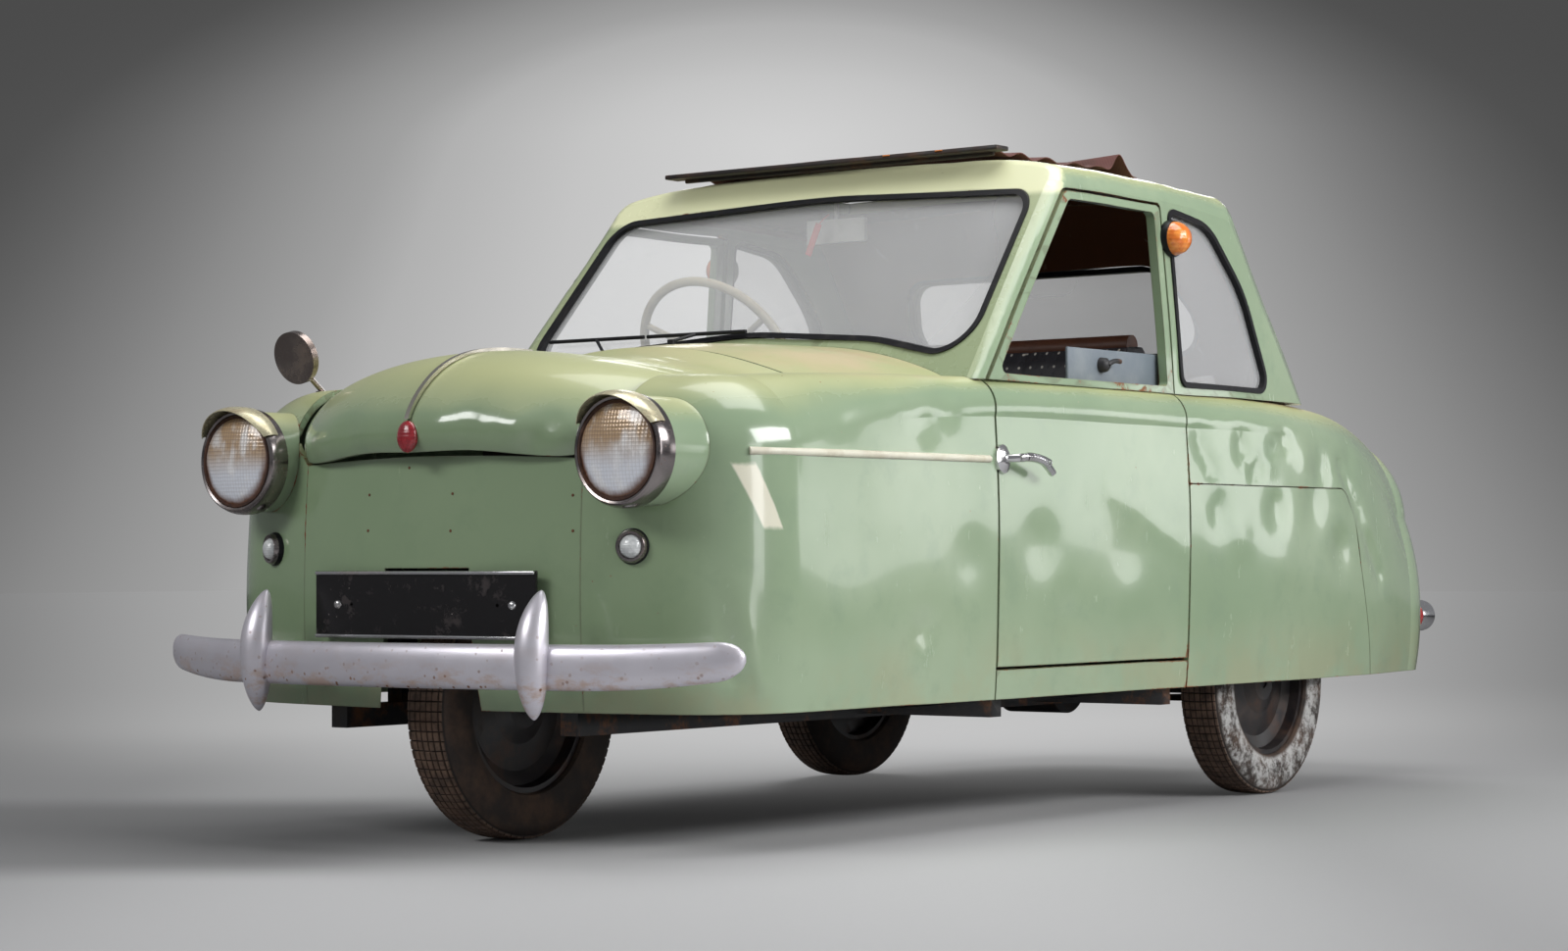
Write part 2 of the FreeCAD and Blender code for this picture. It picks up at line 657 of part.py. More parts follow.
# ---------------------------------------------------------------- bumper, lamps and trim
def bumper_bow():
    """Radius of the bumper's sweep in plan."""
    return (BUMPER_HALF_WIDTH ** 2 + BUMPER_SWEEP ** 2) / (2 * BUMPER_SWEEP)


def bumper_solid(grow):
    bow = bumper_bow()
    front = FRONT_END - grow
    back = FRONT_END + BUMPER_DEPTH
    half = BUMPER_HEIGHT / 2 + grow
    rim = 0.55 * BUMPER_DEPTH
    points = [Vector(0, back, BUMPER_Z - half), Vector(0, front + rim, BUMPER_Z - half),
              Vector(0, front, BUMPER_Z), Vector(0, front + rim, BUMPER_Z + half),
              Vector(0, back, BUMPER_Z + half)]
    section = Part.Wire([line(points[0], points[1]), arc(points[1], points[2], points[3]),
                         line(points[3], points[4]), line(points[4], points[0])])
    angle = math.degrees(math.asin(BUMPER_HALF_WIDTH / bow))
    axis = Vector(0, FRONT_END + bow, 0)
    face = Part.Face(section).rotated(axis, Vector(0, 0, 1), -angle)
    return face.revolve(axis, Vector(0, 0, 1), 2 * angle)


def overrider(x):
    """An upright horn on the bumper, rounded all over: ellipses lofted up its height."""
    y = FRONT_END + bumper_bow() - math.sqrt(bumper_bow() ** 2 - x ** 2)
    rings = []
    for z, back, half_width, half_depth in OVERRIDER_ROWS:
        centre = Vector(x, y + back, z)
        side, ahead = centre + Vector(half_width, 0, 0), centre - Vector(0, half_depth, 0)
        if half_width >= half_depth:
            ring = Part.Ellipse(side, ahead, centre)
        else:
            ring = Part.Ellipse(ahead, side, centre)
        rings.append(Part.Wire(ring.toShape()))
    horn = Part.makeLoft(rings, True, False)
    return horn.cut(bumper_solid(SEAT_GAP))


def bumper_iron(x):
    """Flat iron from a chassis rail forward and up to the back of the bumper."""
    back = FRONT_END + BUMPER_DEPTH + bumper_bow() - math.sqrt(bumper_bow() ** 2 - (x + 12) ** 2)
    foot = box(x - 12, x + 12, back + 1, RAIL_FRONT, RAIL_LOW + 6, RAIL_LOW + 16)
    upright = box(x - 12, x + 12, back - 12, back + 6, RAIL_LOW + 6, BUMPER_Z + 25)
    return foot.fuse(upright).cut(bumper_solid(0.0))


def lamps_and_trim(seat, bonnet):
    save("bumper_bar", bumper_solid(0.0))
    save("overriders", *[overrider(side * OVERRIDER_X) for side, _ in SIDES])

    rims, lenses, visors = [], [], []
    for side, _ in SIDES:
        x = side * LAMP_X
        rims.append(tube((x, LAMP_FRONT, LAMP_Z), (x, LAMP_BACK, LAMP_Z), LAMP_RADIUS, LENS_RADIUS))
        ball = Part.makeSphere(260, Vector(x, LAMP_FRONT - 14 + 260, LAMP_Z))
        lens = rod((x, LAMP_FRONT - 30, LAMP_Z), (x, LAMP_BACK, LAMP_Z), LENS_RADIUS).common(ball)
        lenses.append(lens)
        hood = tube((x, LAMP_FRONT - 26, LAMP_Z), (x, LAMP_FRONT + 24, LAMP_Z),
                    LAMP_RADIUS + 5, LAMP_RADIUS + SEAT_GAP)
        peak = side_slab([(LAMP_FRONT - 26, LAMP_Z + 104), (LAMP_FRONT - 4, LAMP_Z + 30),
                          (LAMP_FRONT + 24, LAMP_Z + 30), (LAMP_FRONT + 24, LAMP_Z + 140),
                          (LAMP_FRONT - 26, LAMP_Z + 140)], x - 130, x + 130)
        visors.append(hood.common(peak))
    save("headlamp_rims", *rims)
    save("headlamp_lenses", *lenses)
    save("headlamp_visors", *visors)

    side_lamps, tails, ambers = [], [], []
    rubber = quarter_prism(-SEAT_GAP).common(cabin(-RUBBER_PROUD - SEAT_GAP))
    for side, _ in SIDES:
        x = side * SIDE_LAMP_X
        base = rod((x, SIDE_LAMP_FRONT, SIDE_LAMP_Z), (x, -100, SIDE_LAMP_Z), 30).cut(seat)
        dome = dome_cap(Vector(x, SIDE_LAMP_FRONT, SIDE_LAMP_Z), Vector(0, -1, 0), 24, 14)
        side_lamps.append(base.fuse(dome))
        x = side * TAIL_LAMP_X
        base = rod((x, TAIL_LAMP_BACK, TAIL_LAMP_Z), (x, 2600, TAIL_LAMP_Z), 34).cut(seat)
        dome = dome_cap(Vector(x, TAIL_LAMP_BACK, TAIL_LAMP_Z), Vector(0, 1, 0), 30, 20)
        tails.append(base.fuse(dome))
        x = side * AMBER_X
        base = rod((x, AMBER_Y, AMBER_Z), (side * 550, AMBER_Y, AMBER_Z), 34)
        base = base.cut(cabin(-SEAT_GAP)).cut(on_side(rubber, side))
        dome = dome_cap(Vector(x, AMBER_Y, AMBER_Z), Vector(side, 0, 0), 31, 34)
        ambers.append(base.fuse(dome))
    save("side_lamps", *side_lamps)
    save("tail_lamps", *tails)
    save("indicator_lamps", *ambers)

    proud = fused(list(lower_body(-3.0))[:2]).cut(seat)
    strip = proud.common(box(0, 800, STRIP_START, STRIP_END, STRIP_Z - 4, STRIP_Z + 4))
    save("side_strips", strip, mirrored(strip))

    plate_y = outer_front() - 2
    plate = box(-PLATE_HALF, PLATE_HALF, plate_y - 5, plate_y, PLATE_LOW, PLATE_TOP)
    pieces = [plate]
    for side, _ in SIDES:
        x = side * PLATE_HOLE_X
        pad = box(x - 20, x + 20, plate_y, plate_y + 30, PLATE_LOW + 30, PLATE_TOP - 30)
        pieces.append(pad.cut(seat).common(box(-400, 400, plate_y, plate_y + 28, 0, 600)))
    save("number_plate", fused(pieces).cut(fused(plate_holes())))

    rear_plate = box(-REAR_PLATE_HALF, REAR_PLATE_HALF, REAR_END - 90, REAR_END - 9,
                     REAR_PLATE_LOW, REAR_PLATE_LOW + 125).cut(seat)
    lamp = box(-45, 45, REAR_END - 90, REAR_END, REAR_PLATE_LOW + 129, REAR_PLATE_LOW + 155)
    save("rear_plate", rear_plate, lamp.cut(seat))

    ball = Part.makeSphere(1.0)
    squash = FreeCAD.Matrix()
    squash.A11, squash.A22, squash.A33 = 23.0, 14.0, 29.0
    badge = ball.transformGeometry(squash).translated(Vector(0, BONNET_ROWS[0][3], EMBLEM_Z))
    save("front_emblem", badge.cut(bonnet).Solids[0])
    save("bonnet_strip", bonnet_trim())


def outer_front():
    """Station of the nose's foremost point at the height where it is widest."""
    reach = CORNER_X / math.sin(math.radians(NOSE_SWEEP))
    return CORNER_Y - reach * (1 - math.cos(math.radians(NOSE_SWEEP))) - (SECTIONS[0][2] - CORNER_X)


def dome_cap(centre, direction, radius, height):
    """A lens: a spherical cap on a flat base."""
    ball_radius = (radius ** 2 + height ** 2) / (2 * height)
    ball = Part.makeSphere(ball_radius, centre + direction * (height - ball_radius))
    return ball.common(Part.makeCylinder(radius + 1, height + 5, centre, direction))


def bonnet_trim():
    row = BONNET_ROWS[0]
    low, low_lip, low_rear = bonnet_profile(row, 0.3)
    high, high_lip, high_rear = bonnet_profile(row, 7.0)
    wire = Part.Wire(Part.__sortEdges__(
        low + high + [line(low_lip, high_lip), line(low_rear, high_rear)]))
    strip = Part.Face(wire).extrude(Vector(10, 0, 0)).translated(Vector(-5, 0, 0))
    return strip.common(box(-10, 10, -320, BONNET_BEND, EMBLEM_Z + 32, 1000))


# ---------------------------------------------------------------- wheels, axles and chassis
def turned(points, centre, x_sign=1):
    """A closed outline of (x, radius) pairs turned about a wheel's axle."""
    wire = outline([Vector(x_sign * x, 0, r) for x, r in points])
    solid = Part.Face(wire).revolve(Vector(0, 0, 0), Vector(1, 0, 0), 360)
    return solid.translated(Vector(*centre))


def tyre(centre):
    half, bead = TYRE_WIDTH / 2, TYRE_WIDTH / 2 - 16
    shoulder = (half - 12, TYRE_RADIUS - 6)
    a, b = Vector(-bead, 0, RIM_RADIUS), Vector(bead, 0, RIM_RADIUS)
    right, left = Vector(shoulder[0], 0, shoulder[1]), Vector(-shoulder[0], 0, shoulder[1])
    middle_z = RIM_RADIUS + 0.5 * (TYRE_RADIUS - RIM_RADIUS)
    wire = Part.Wire([line(a, b), arc(b, Vector(half, 0, middle_z), right),
                      arc(right, Vector(0, 0, TYRE_RADIUS), left),
                      arc(left, Vector(-half, 0, middle_z), a)])
    ring = Part.Face(wire).revolve(Vector(0, 0, 0), Vector(1, 0, 0), 360)
    return ring.translated(Vector(*centre))


def rim(centre, outward):
    half = TYRE_WIDTH / 2 - 16
    well, disc = RIM_RADIUS - 10, 6.0
    points = [(-half, RIM_RADIUS), (half, RIM_RADIUS), (half, well), (disc + 8, well - 4),
              (disc, 120), (disc + 10, 70), (disc + 22, 40), (disc + 22, STUB_RADIUS + 0.05),
              (-30, STUB_RADIUS + 0.05), (-30, 34), (disc - 6, 40), (disc - 4, 70),
              (disc - 6, 120), (disc - 8, well - 4), (-half, well)]
    return turned(points, centre, outward)


def wheels():
    front = (0, FRONT_AXLE, TYRE_RADIUS)
    save("front_tyre", tyre(front))
    save("front_wheel", rim(front, 1))
    for side, word in SIDES:
        centre = (side * REAR_TRACK / 2, FRONT_AXLE + WHEELBASE, TYRE_RADIUS)
        save("rear_tyre_%s" % word, tyre(centre))
        save("rear_wheel_%s" % word, rim(centre, side))


def running_gear():
    y, z = FRONT_AXLE, TYRE_RADIUS
    arm_x = -TYRE_WIDTH / 2 - 22
    stub = rod((arm_x, y, z), (34, y, z), STUB_RADIUS)
    arm = box(arm_x - 8, arm_x + 8, y - 24, y + 24, z - 30, FORK_TOP)
    crown = box(arm_x - 8, 30, y - 24, y + 24, FORK_TOP - 18, FORK_TOP)
    kingpin = rod((0, y, FORK_TOP - 4), (0, y, HEAD_TOP + 8), KINGPIN_RADIUS)
    save("steering_fork", fused([stub, arm, crown, kingpin]))

    boss = tube((0, y, FORK_TOP + 6), (0, y, HEAD_TOP), 34, KINGPIN_RADIUS + 0.05)
    beam = box(-RAIL_X - 20, RAIL_X + 20, y - 22, y + 22, HEAD_TOP - 42, HEAD_TOP - 10)
    beam = beam.cut(rod((0, y, 0), (0, y, 900), 33))
    legs = [box(side * RAIL_X - 18, side * RAIL_X + 18, y - 22, y + 22, RAIL_TOP, HEAD_TOP - 10)
            for side, _ in SIDES]
    head = [boss, beam] + legs

    rails = [box(side * RAIL_X - 20, side * RAIL_X + 20, RAIL_FRONT, RAIL_REAR, RAIL_LOW, RAIL_TOP)
             for side, _ in SIDES]
    crosses = [box(-RAIL_X, RAIL_X, station - 25, station + 25, RAIL_LOW + 4, RAIL_TOP)
               for station in CROSS_STATIONS]
    outriggers = [box(-OUTRIGGER_X, OUTRIGGER_X, station - 20, station + 20, RAIL_LOW + 8, RAIL_TOP)
                  for station in OUTRIGGER_STATIONS]
    irons = [bumper_iron(side * (RAIL_X + 8)) for side, _ in SIDES]
    save("chassis_frame", fused(rails + crosses + outriggers + head + irons))

    axle_y = FRONT_AXLE + WHEELBASE
    half = REAR_TRACK / 2
    casing = rod((-half + 34, axle_y, z), (half - 34, axle_y, z), AXLE_RADIUS)
    stubs = rod((-half - 24, axle_y, z), (half + 24, axle_y, z), STUB_RADIUS)
    middle = rod((-75, axle_y, z), (75, axle_y, z), 82)
    pinion = rod((0, axle_y - 150, z), (0, axle_y, z), 52)
    drums = [rod((side * (half - 62), axle_y, z), (side * (half - 34), axle_y, z), 105)
             for side, _ in SIDES]
    save("rear_axle", fused([casing, stubs, middle, pinion] + drums))

    save("rear_springs", *[leaf_spring(side * SPRING_X, axle_y) for side, _ in SIDES])


def leaf_spring(x, axle_y):
    """A leaf spring that hangs below the axle casing, with its rear hanger up to the floor."""
    end, half = SPRING_REACH, SPRING_WIDTH / 2
    under = TYRE_RADIUS - AXLE_RADIUS
    top, low = RAIL_TOP, RAIL_TOP - SPRING_THICKNESS
    front, rear = axle_y - end, axle_y + end
    leaf = Part.Wire([
        arc(Vector(x, front, low), Vector(x, axle_y, under - SPRING_THICKNESS), Vector(x, rear, low)),
        line(Vector(x, rear, low), Vector(x, rear, top)),
        arc(Vector(x, rear, top), Vector(x, axle_y, under), Vector(x, front, top)),
        line(Vector(x, front, top), Vector(x, front, low))])
    leaf = Part.Face(leaf).extrude(Vector(SPRING_WIDTH, 0, 0)).translated(Vector(-half, 0, 0))
    hanger = box(x - half, x + half, rear - SPRING_THICKNESS, rear, low + 2, TRAY_Z)
    return fused([leaf, hanger])


# ---------------------------------------------------------------- inside
def inside():
    hollow_body = fused(list(lower_body(SKIN + SEAT_GAP)))
    floor_rear = REAR_TRAY_FRONT
    floor = box(-FLOOR_HALF, FLOOR_HALF, 300, floor_rear, RAIL_TOP, RAIL_TOP + SHEET)
    riser = box(-FLOOR_HALF, FLOOR_HALF, floor_rear, floor_rear + SHEET, RAIL_TOP, TRAY_Z + SHEET)
    tray = box(-ARCH_X, ARCH_X, floor_rear + SHEET, 2650, TRAY_Z, TRAY_Z + SHEET)
    bulkhead = box(-640, 640, BULKHEAD_Y, BULKHEAD_Y + SHEET, RAIL_TOP, 840)
    plates = [floor, riser, tray, bulkhead]
    near, far = floor_rear + SHEET + 1, 2240
    for side, _ in SIDES:
        inner = box(ARCH_X, ARCH_X + SHEET, near, far, 290, ARCH_TOP)
        top = box(ARCH_X, 645, near, far, ARCH_TOP, ARCH_TOP + SHEET)
        front = box(ARCH_X + SHEET, 645, near, near + SHEET, RAIL_TOP + SHEET, ARCH_TOP)
        back = box(ARCH_X + SHEET, 645, far - SHEET, far, 290, ARCH_TOP)
        plates += [on_side(plate, side) for plate in (inner, top, front, back)]
    save("floor_pan", fused(plates).common(hollow_body))

    feet = []
    for side, _ in SIDES:
        foot = box(RAIL_X - 12, RAIL_X + 12, 420, 470, RAIL_TOP + SHEET, 390)
        arm = box(ENGINE_HALF - 10, RAIL_X + 12, 420, 470, 370, 390)
        feet += [on_side(foot, side), on_side(arm, side)]
    engine = box(-ENGINE_HALF, ENGINE_HALF, ENGINE_FRONT, BULKHEAD_Y - 12, 330, 660)
    save("engine_block", fused([engine] + feet))
    back_face = BULKHEAD_Y + SHEET
    dash = side_slab([(back_face, 770), (700, 770), (716, 792), (716, 832), (700, 846), (back_face, 846)],
                     -DASH_HALF, DASH_HALF)
    save("dashboard", dash)

    save("front_seat_cushion", box(-SEAT_HALF, SEAT_HALF, SEAT_FRONT, SEAT_REAR, SEAT_LOW, SEAT_TOP))
    save("front_seat_base", box(-SEAT_HALF + 20, SEAT_HALF - 20, SEAT_FRONT + 20, SEAT_REAR - 10,
                                RAIL_TOP + SHEET, SEAT_LOW))
    back = side_slab([(SEAT_REAR, 430), (1400, 430), (1470, 960), (1440, 990), (1370, 985),
                      (SEAT_REAR, 530)], -SEAT_HALF - 10, SEAT_HALF + 10)
    save("front_seat_back", back)
    tray_top = TRAY_Z + SHEET
    rear_cushion = box(-REAR_SEAT_HALF, REAR_SEAT_HALF, 1600, 1960, tray_top, tray_top + 100)
    rear_back = side_slab([(1960, tray_top), (2040, tray_top), (2040, 835), (1985, 835)],
                          -REAR_SEAT_HALF, REAR_SEAT_HALF)
    save("rear_seat", rear_cushion, rear_back)
    steering(dash)

    mirror = box(-75, 75, 1035, 1047, 1190, 1240)
    stem = rod((0, 1041, 1215), (0, 1041, ROOF_Z), 5).common(cabin(ROOF_SKIN))
    save("interior_mirror", mirror.fuse(stem))


def steering(dash):
    hub = Vector(STEER_X, STEER_Y, STEER_Z)
    lean = math.radians(STEER_TILT)
    axis = Vector(0, math.sin(lean), math.cos(lean))
    reach = (STEER_Y - BULKHEAD_Y - SHEET) / axis.y
    column = Part.makeCylinder(16, reach, hub - axis * 30, axis * -1)
    column = column.common(box(-800, 800, BULKHEAD_Y + SHEET, STEER_Y + 200, 0, 1100))
    save("steering_column", column.cut(dash))
    across = Vector(1, 0, 0)
    along = axis.cross(across)
    pieces = [Part.makeTorus(STEER_RADIUS, 10, hub, axis)]
    pieces.append(Part.makeCylinder(30, 29.5, hub - axis * 29.5, axis))
    for angle in (90, 210, 330):
        radians = math.radians(angle)
        way = across * math.cos(radians) + along * math.sin(radians)
        pieces.append(Part.makeCylinder(7, STEER_RADIUS, hub, way))
    save("steering_wheel", fused(pieces))


def roof_and_fittings():
    edge_z, middle_z = ROOF_Z + 8, ROOF_Z + 17
    points = [Vector(-SUNROOF_HALF, SUNROOF_FRONT, edge_z), Vector(0, SUNROOF_FRONT, middle_z),
              Vector(SUNROOF_HALF, SUNROOF_FRONT, edge_z)]
    low = [p - Vector(0, 0, 12) for p in points]
    wire = Part.Wire([arc(*points), line(points[2], low[2]), arc(low[2], low[1], low[0]),
                      line(low[0], points[0])])
    sheet = Part.Face(wire).extrude(Vector(0, SUNROOF_REAR - SUNROOF_FRONT, 0))
    save("sunroof_fabric", sheet)
    bar = box(-SUNROOF_BAR_HALF, SUNROOF_BAR_HALF, SUNROOF_FRONT - 32, SUNROOF_FRONT - SEAT_GAP,
              ROOF_Z, ROOF_Z + 22)
    save("sunroof_bar", bar.cut(cabin(-SEAT_GAP)))

    base = rod((-MIRROR_X, MIRROR_Y, 790), (-MIRROR_X, MIRROR_Y, 852), 14)
    stalk = rod((-MIRROR_X, MIRROR_Y, 850), (-MIRROR_X, MIRROR_Y - 72, 905), 5)
    disc = rod((-MIRROR_X, MIRROR_Y - 80, 913), (-MIRROR_X, MIRROR_Y - 66, 917), 52)
    mirror = fused([base, stalk, disc]).cut(fused(list(lower_body(-SEAT_GAP))[:2]))
    save("wing_mirror", mirror)

    save("wipers", *[wiper(pivot_x, blade_x) for pivot_x, blade_x in WIPERS])


def wiper(pivot_x, blade_x):
    """A post on the scuttle, an arm, and a blade that lies just clear of the glass."""
    rise = 1 - (pivot_x / SCUTTLE_WIDE) ** 2
    post_z = SCUTTLE_RIM + (SCUTTLE_TOP - SCUTTLE_RIM) * rise + 22
    foot_y = SCUTTLE_END - 38
    blade_z = WIPER_Z
    blade_y = screen_y(blade_z) - 15
    post = rod((pivot_x, foot_y, post_z), (pivot_x, foot_y, post_z - 50), 9)
    arm = rod((pivot_x, foot_y, post_z - 3), (blade_x, blade_y, blade_z), 3.5)
    blade = rod((blade_x - 130, blade_y, blade_z), (blade_x + 130, blade_y, blade_z), 4.0)
    return fused([post, arm, blade]).cut(scuttle_dome(-SEAT_GAP))


def handles():
    expanded = lower_body(-4.0)[0].cut(lower_body(0.0)[0])
    plate = expanded.common(box(560, 800, HANDLE_Y - 15, HANDLE_Y + 15, HANDLE_Z - 26, HANDLE_Z + 26))
    stem = rod((640, HANDLE_Y, HANDLE_Z), (HANDLE_X, HANDLE_Y, HANDLE_Z), 8).cut(lower_body(0.0)[0])
    lever = rod((HANDLE_X, HANDLE_Y - 6, HANDLE_Z), (HANDLE_X, HANDLE_Y + 105, HANDLE_Z - 16), 8)
    save_pair("door_handle", fused([plate, stem, lever]))


def save_pair(name, left_shape):
    for side, word in SIDES:
        save("%s_%s" % (name, word), on_side(left_shape, side))


if __name__ == "__main__":
    os.makedirs("parts", exist_ok=True)
    body_seat, bonnet_solid = panels()
    windows()
    lamps_and_trim(body_seat, bonnet_solid)
    wheels()
    running_gear()
    inside()
    roof_and_fittings()
    handles()
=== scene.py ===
import json
import math

import bmesh
import bpy
import numpy as np
from mathutils import Matrix, Vector
from mathutils.kdtree import KDTree


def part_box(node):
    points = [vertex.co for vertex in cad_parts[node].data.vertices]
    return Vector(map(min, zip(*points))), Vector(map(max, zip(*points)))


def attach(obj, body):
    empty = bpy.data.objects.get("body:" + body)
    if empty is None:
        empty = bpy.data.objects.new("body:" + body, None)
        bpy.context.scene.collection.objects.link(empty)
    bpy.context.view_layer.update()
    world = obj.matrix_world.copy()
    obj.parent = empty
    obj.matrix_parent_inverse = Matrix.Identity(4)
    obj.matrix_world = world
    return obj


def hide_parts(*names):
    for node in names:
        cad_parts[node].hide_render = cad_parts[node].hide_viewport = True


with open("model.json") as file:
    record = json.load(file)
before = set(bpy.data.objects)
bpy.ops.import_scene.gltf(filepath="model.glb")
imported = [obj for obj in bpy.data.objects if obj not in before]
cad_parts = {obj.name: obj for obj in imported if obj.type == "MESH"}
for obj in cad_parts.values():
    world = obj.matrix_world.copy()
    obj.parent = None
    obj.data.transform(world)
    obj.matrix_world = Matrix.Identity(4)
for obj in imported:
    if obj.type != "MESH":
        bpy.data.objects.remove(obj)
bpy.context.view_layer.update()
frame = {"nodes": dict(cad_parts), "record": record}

# Small three wheeled saloon with a worn sage green body.
# Metres. X to the car's left, Y to the rear, Z up, the ground at zero.

NODES = frame["nodes"]
BODY_OF = {node: body for body, nodes in frame["record"]["behaviour"]["bodies"].items() for node in nodes}
SIDES = ((1, "left"), (-1, "right"))
CAMERA_PLACE = (4.1307, -5.8398, 0.5177)
COSINE, SINE = 0.7986, 0.6018     # of the camera's azimuth, which the wall and the floor's shading follow
FOLD_ANGLE = 0.55                 # radians between two faces that count as an edge, for worn chips and painted edge shade
WALL_REACH = 1.25                 # how far out the wall's fall from pale to dark runs
WALL_STOPS = ((0, 0.66), (0.2, 0.56), (0.34, 0.43), (0.4, 0.36), (0.51, 0.25), (0.6, 0.17),
              (0.68, 0.12), (0.78, 0.075), (1, 0.07))


# ------------------------ shader maths
def maths(operation, swapped=False):
    """A method of Value that adds one Math node."""
    def act(self, other):
        first, second = (other, self) if swapped else (self, other)
        return self.shading.node("Math", {0: first, 1: second}, operation=operation)
    return act


class Value:
    """A shader socket that can be used in arithmetic."""

    def __init__(self, shading, socket):
        self.shading, self.socket = shading, socket

    __add__, __radd__ = maths("ADD"), maths("ADD", True)
    __sub__, __rsub__ = maths("SUBTRACT"), maths("SUBTRACT", True)
    __mul__, __rmul__ = maths("MULTIPLY"), maths("MULTIPLY", True)
    __truediv__, larger = maths("DIVIDE"), maths("MAXIMUM")

    def alone(self, operation):
        return self.shading.node("Math", {0: self}, operation=operation)

    def sine(self):
        return self.alone("SINE")


class Shading:
    """A node tree that is filled by Python expressions."""

    def __init__(self, tree):
        self.tree = tree

    def feed(self, socket, value):
        if isinstance(value, Value):
            self.tree.links.new(value.socket, socket)
        elif hasattr(value, "__len__") and socket.type == "RGBA":
            socket.default_value = (*value, 1)
        else:
            socket.default_value = value

    def node(self, kind, inputs=(), output=0, **settings):
        """One node: its type, the values or links of its sockets, and its settings, set first."""
        made = self.tree.nodes.new("ShaderNode" + kind)
        for name, value in settings.items():
            setattr(made, name, value)
        for name, value in dict(inputs).items():
            self.feed(made.inputs[name], value)
        return Value(self, made.outputs[output])


class Look(Shading):
    """A material built from sockets. Colours are linear red, green and blue."""

    def __init__(self, name, **plain):
        self.material = bpy.data.materials.new(name)
        self.material.use_nodes = True
        super().__init__(self.material.node_tree)
        self.shader = self.tree.nodes["Principled BSDF"]
        self.place = self.node("TexCoord", output="Object")
        for name, value in plain.items():
            self.set(name.replace("_", " ").title().replace("Ior", "IOR"), value)

    def set(self, name, value):
        self.feed(self.shader.inputs[name], value)

    def noise(self, scale, detail=3, roughness=0.5, place=None):
        return self.node("TexNoise", {"Vector": place or self.place, "Scale": scale, "Detail": detail,
                                      "Roughness": roughness})

    def patchy(self, scale, detail, roughness, low, high):
        """Noise that is 0 below one level and 1 above the other."""
        return self.step(self.noise(scale, detail, roughness), low, high)

    def cells(self, scale):
        return self.node("TexVoronoi", {"Vector": self.place, "Scale": scale})

    def step(self, value, low, high):
        """0 at low, 1 at high, smooth between; low may be above high."""
        return self.node("MapRange", {"Value": value, "From Min": low, "From Max": high},
                         interpolation_type="SMOOTHSTEP")

    def mix(self, first, second, factor):
        made = self.tree.nodes.new("ShaderNodeMix")
        made.data_type = "RGBA"
        self.feed(made.inputs[0], factor)
        self.feed(made.inputs[6], first)
        self.feed(made.inputs[7], second)
        return Value(self, made.outputs[2])

    def stretch(self, x, y, z):
        return self.node("Mapping", {"Vector": self.place, "Scale": (x, y, z)})

    def axis(self, name):
        return self.node("SeparateXYZ", {"Vector": self.place}, output=name)

    def rise(self, name, low, high):
        """0 at one place along an axis, 1 at another."""
        return self.step(self.axis(name), low, high)

    def facing(self, name):
        """The surface normal's share along an axis."""
        normal = self.node("NewGeometry", output="Normal")
        return self.node("SeparateXYZ", {"Vector": normal}, output=name)

    def spot(self, centre, reach):
        """1 at a place, falling to 0 at an ellipsoid round it."""
        shift = tuple(-c / r for c, r in zip(centre, reach))
        local = self.node("Mapping", {"Vector": self.place, "Location": shift,
                                      "Scale": tuple(1 / r for r in reach)})
        return self.step(self.node("VectorMath", {0: local}, output="Value", operation="LENGTH"), 1, 0)

    def away_from(self, centre, plane):
        """How far a place is from a centre, counting only the axes of a plane."""
        out = self.node("VectorMath", {0: self.place, 1: centre}, operation="SUBTRACT")
        flat = self.node("VectorMath", {0: out, 1: plane}, operation="MULTIPLY")
        return self.node("VectorMath", {0: flat}, output="Value", operation="LENGTH")

    def attribute(self, name):
        return self.node("Attribute", output="Fac", attribute_name=name)

    def done(self, colour, roughness, height, strength, distance):
        """Feed the colour, the roughness and the bump, and hand over the material."""
        self.set("Base Color", colour)
        self.set("Roughness", roughness)
        bump = self.node("Bump", {"Height": height, "Strength": strength, "Distance": distance})
        self.set("Normal", bump)
        return self.material


# ------------------------ camera, light and floor
def place_camera():
    """The camera stands ahead of the car's left front corner, low down."""
    azimuth, elevation, roll = math.radians(37), math.radians(-1.4576), math.radians(-0.2332)
    ahead = Vector((-math.sin(azimuth) * math.cos(elevation), math.cos(azimuth) * math.cos(elevation),
                    -math.sin(elevation)))
    right = Vector((math.cos(azimuth), math.sin(azimuth), 0))
    up = right.cross(ahead)
    turned_right = right * math.cos(roll) + up * math.sin(roll)
    turned_up = up * math.cos(roll) - right * math.sin(roll)
    data = bpy.data.cameras.new("camera")
    data.lens = 75.97
    data.sensor_width = 36
    camera = bpy.data.objects.new("camera", data)
    bpy.context.scene.collection.objects.link(camera)
    axes = Matrix((turned_right, turned_up, -ahead)).transposed().to_4x4()
    camera.matrix_world = Matrix.Translation(CAMERA_PLACE) @ axes
    bpy.context.scene.camera = camera


def soft_box(name, place, target, width, height, power, shine=1):
    data = bpy.data.lights.new(name, "AREA")
    data.shape = "RECTANGLE"
    data.size, data.size_y = width, height
    data.energy = power
    data.specular_factor = shine
    light = bpy.data.objects.new(name, data)
    bpy.context.scene.collection.objects.link(light)
    light.location = place
    light.rotation_euler = (Vector(target) - Vector(place)).to_track_quat("-Z", "Y").to_euler()


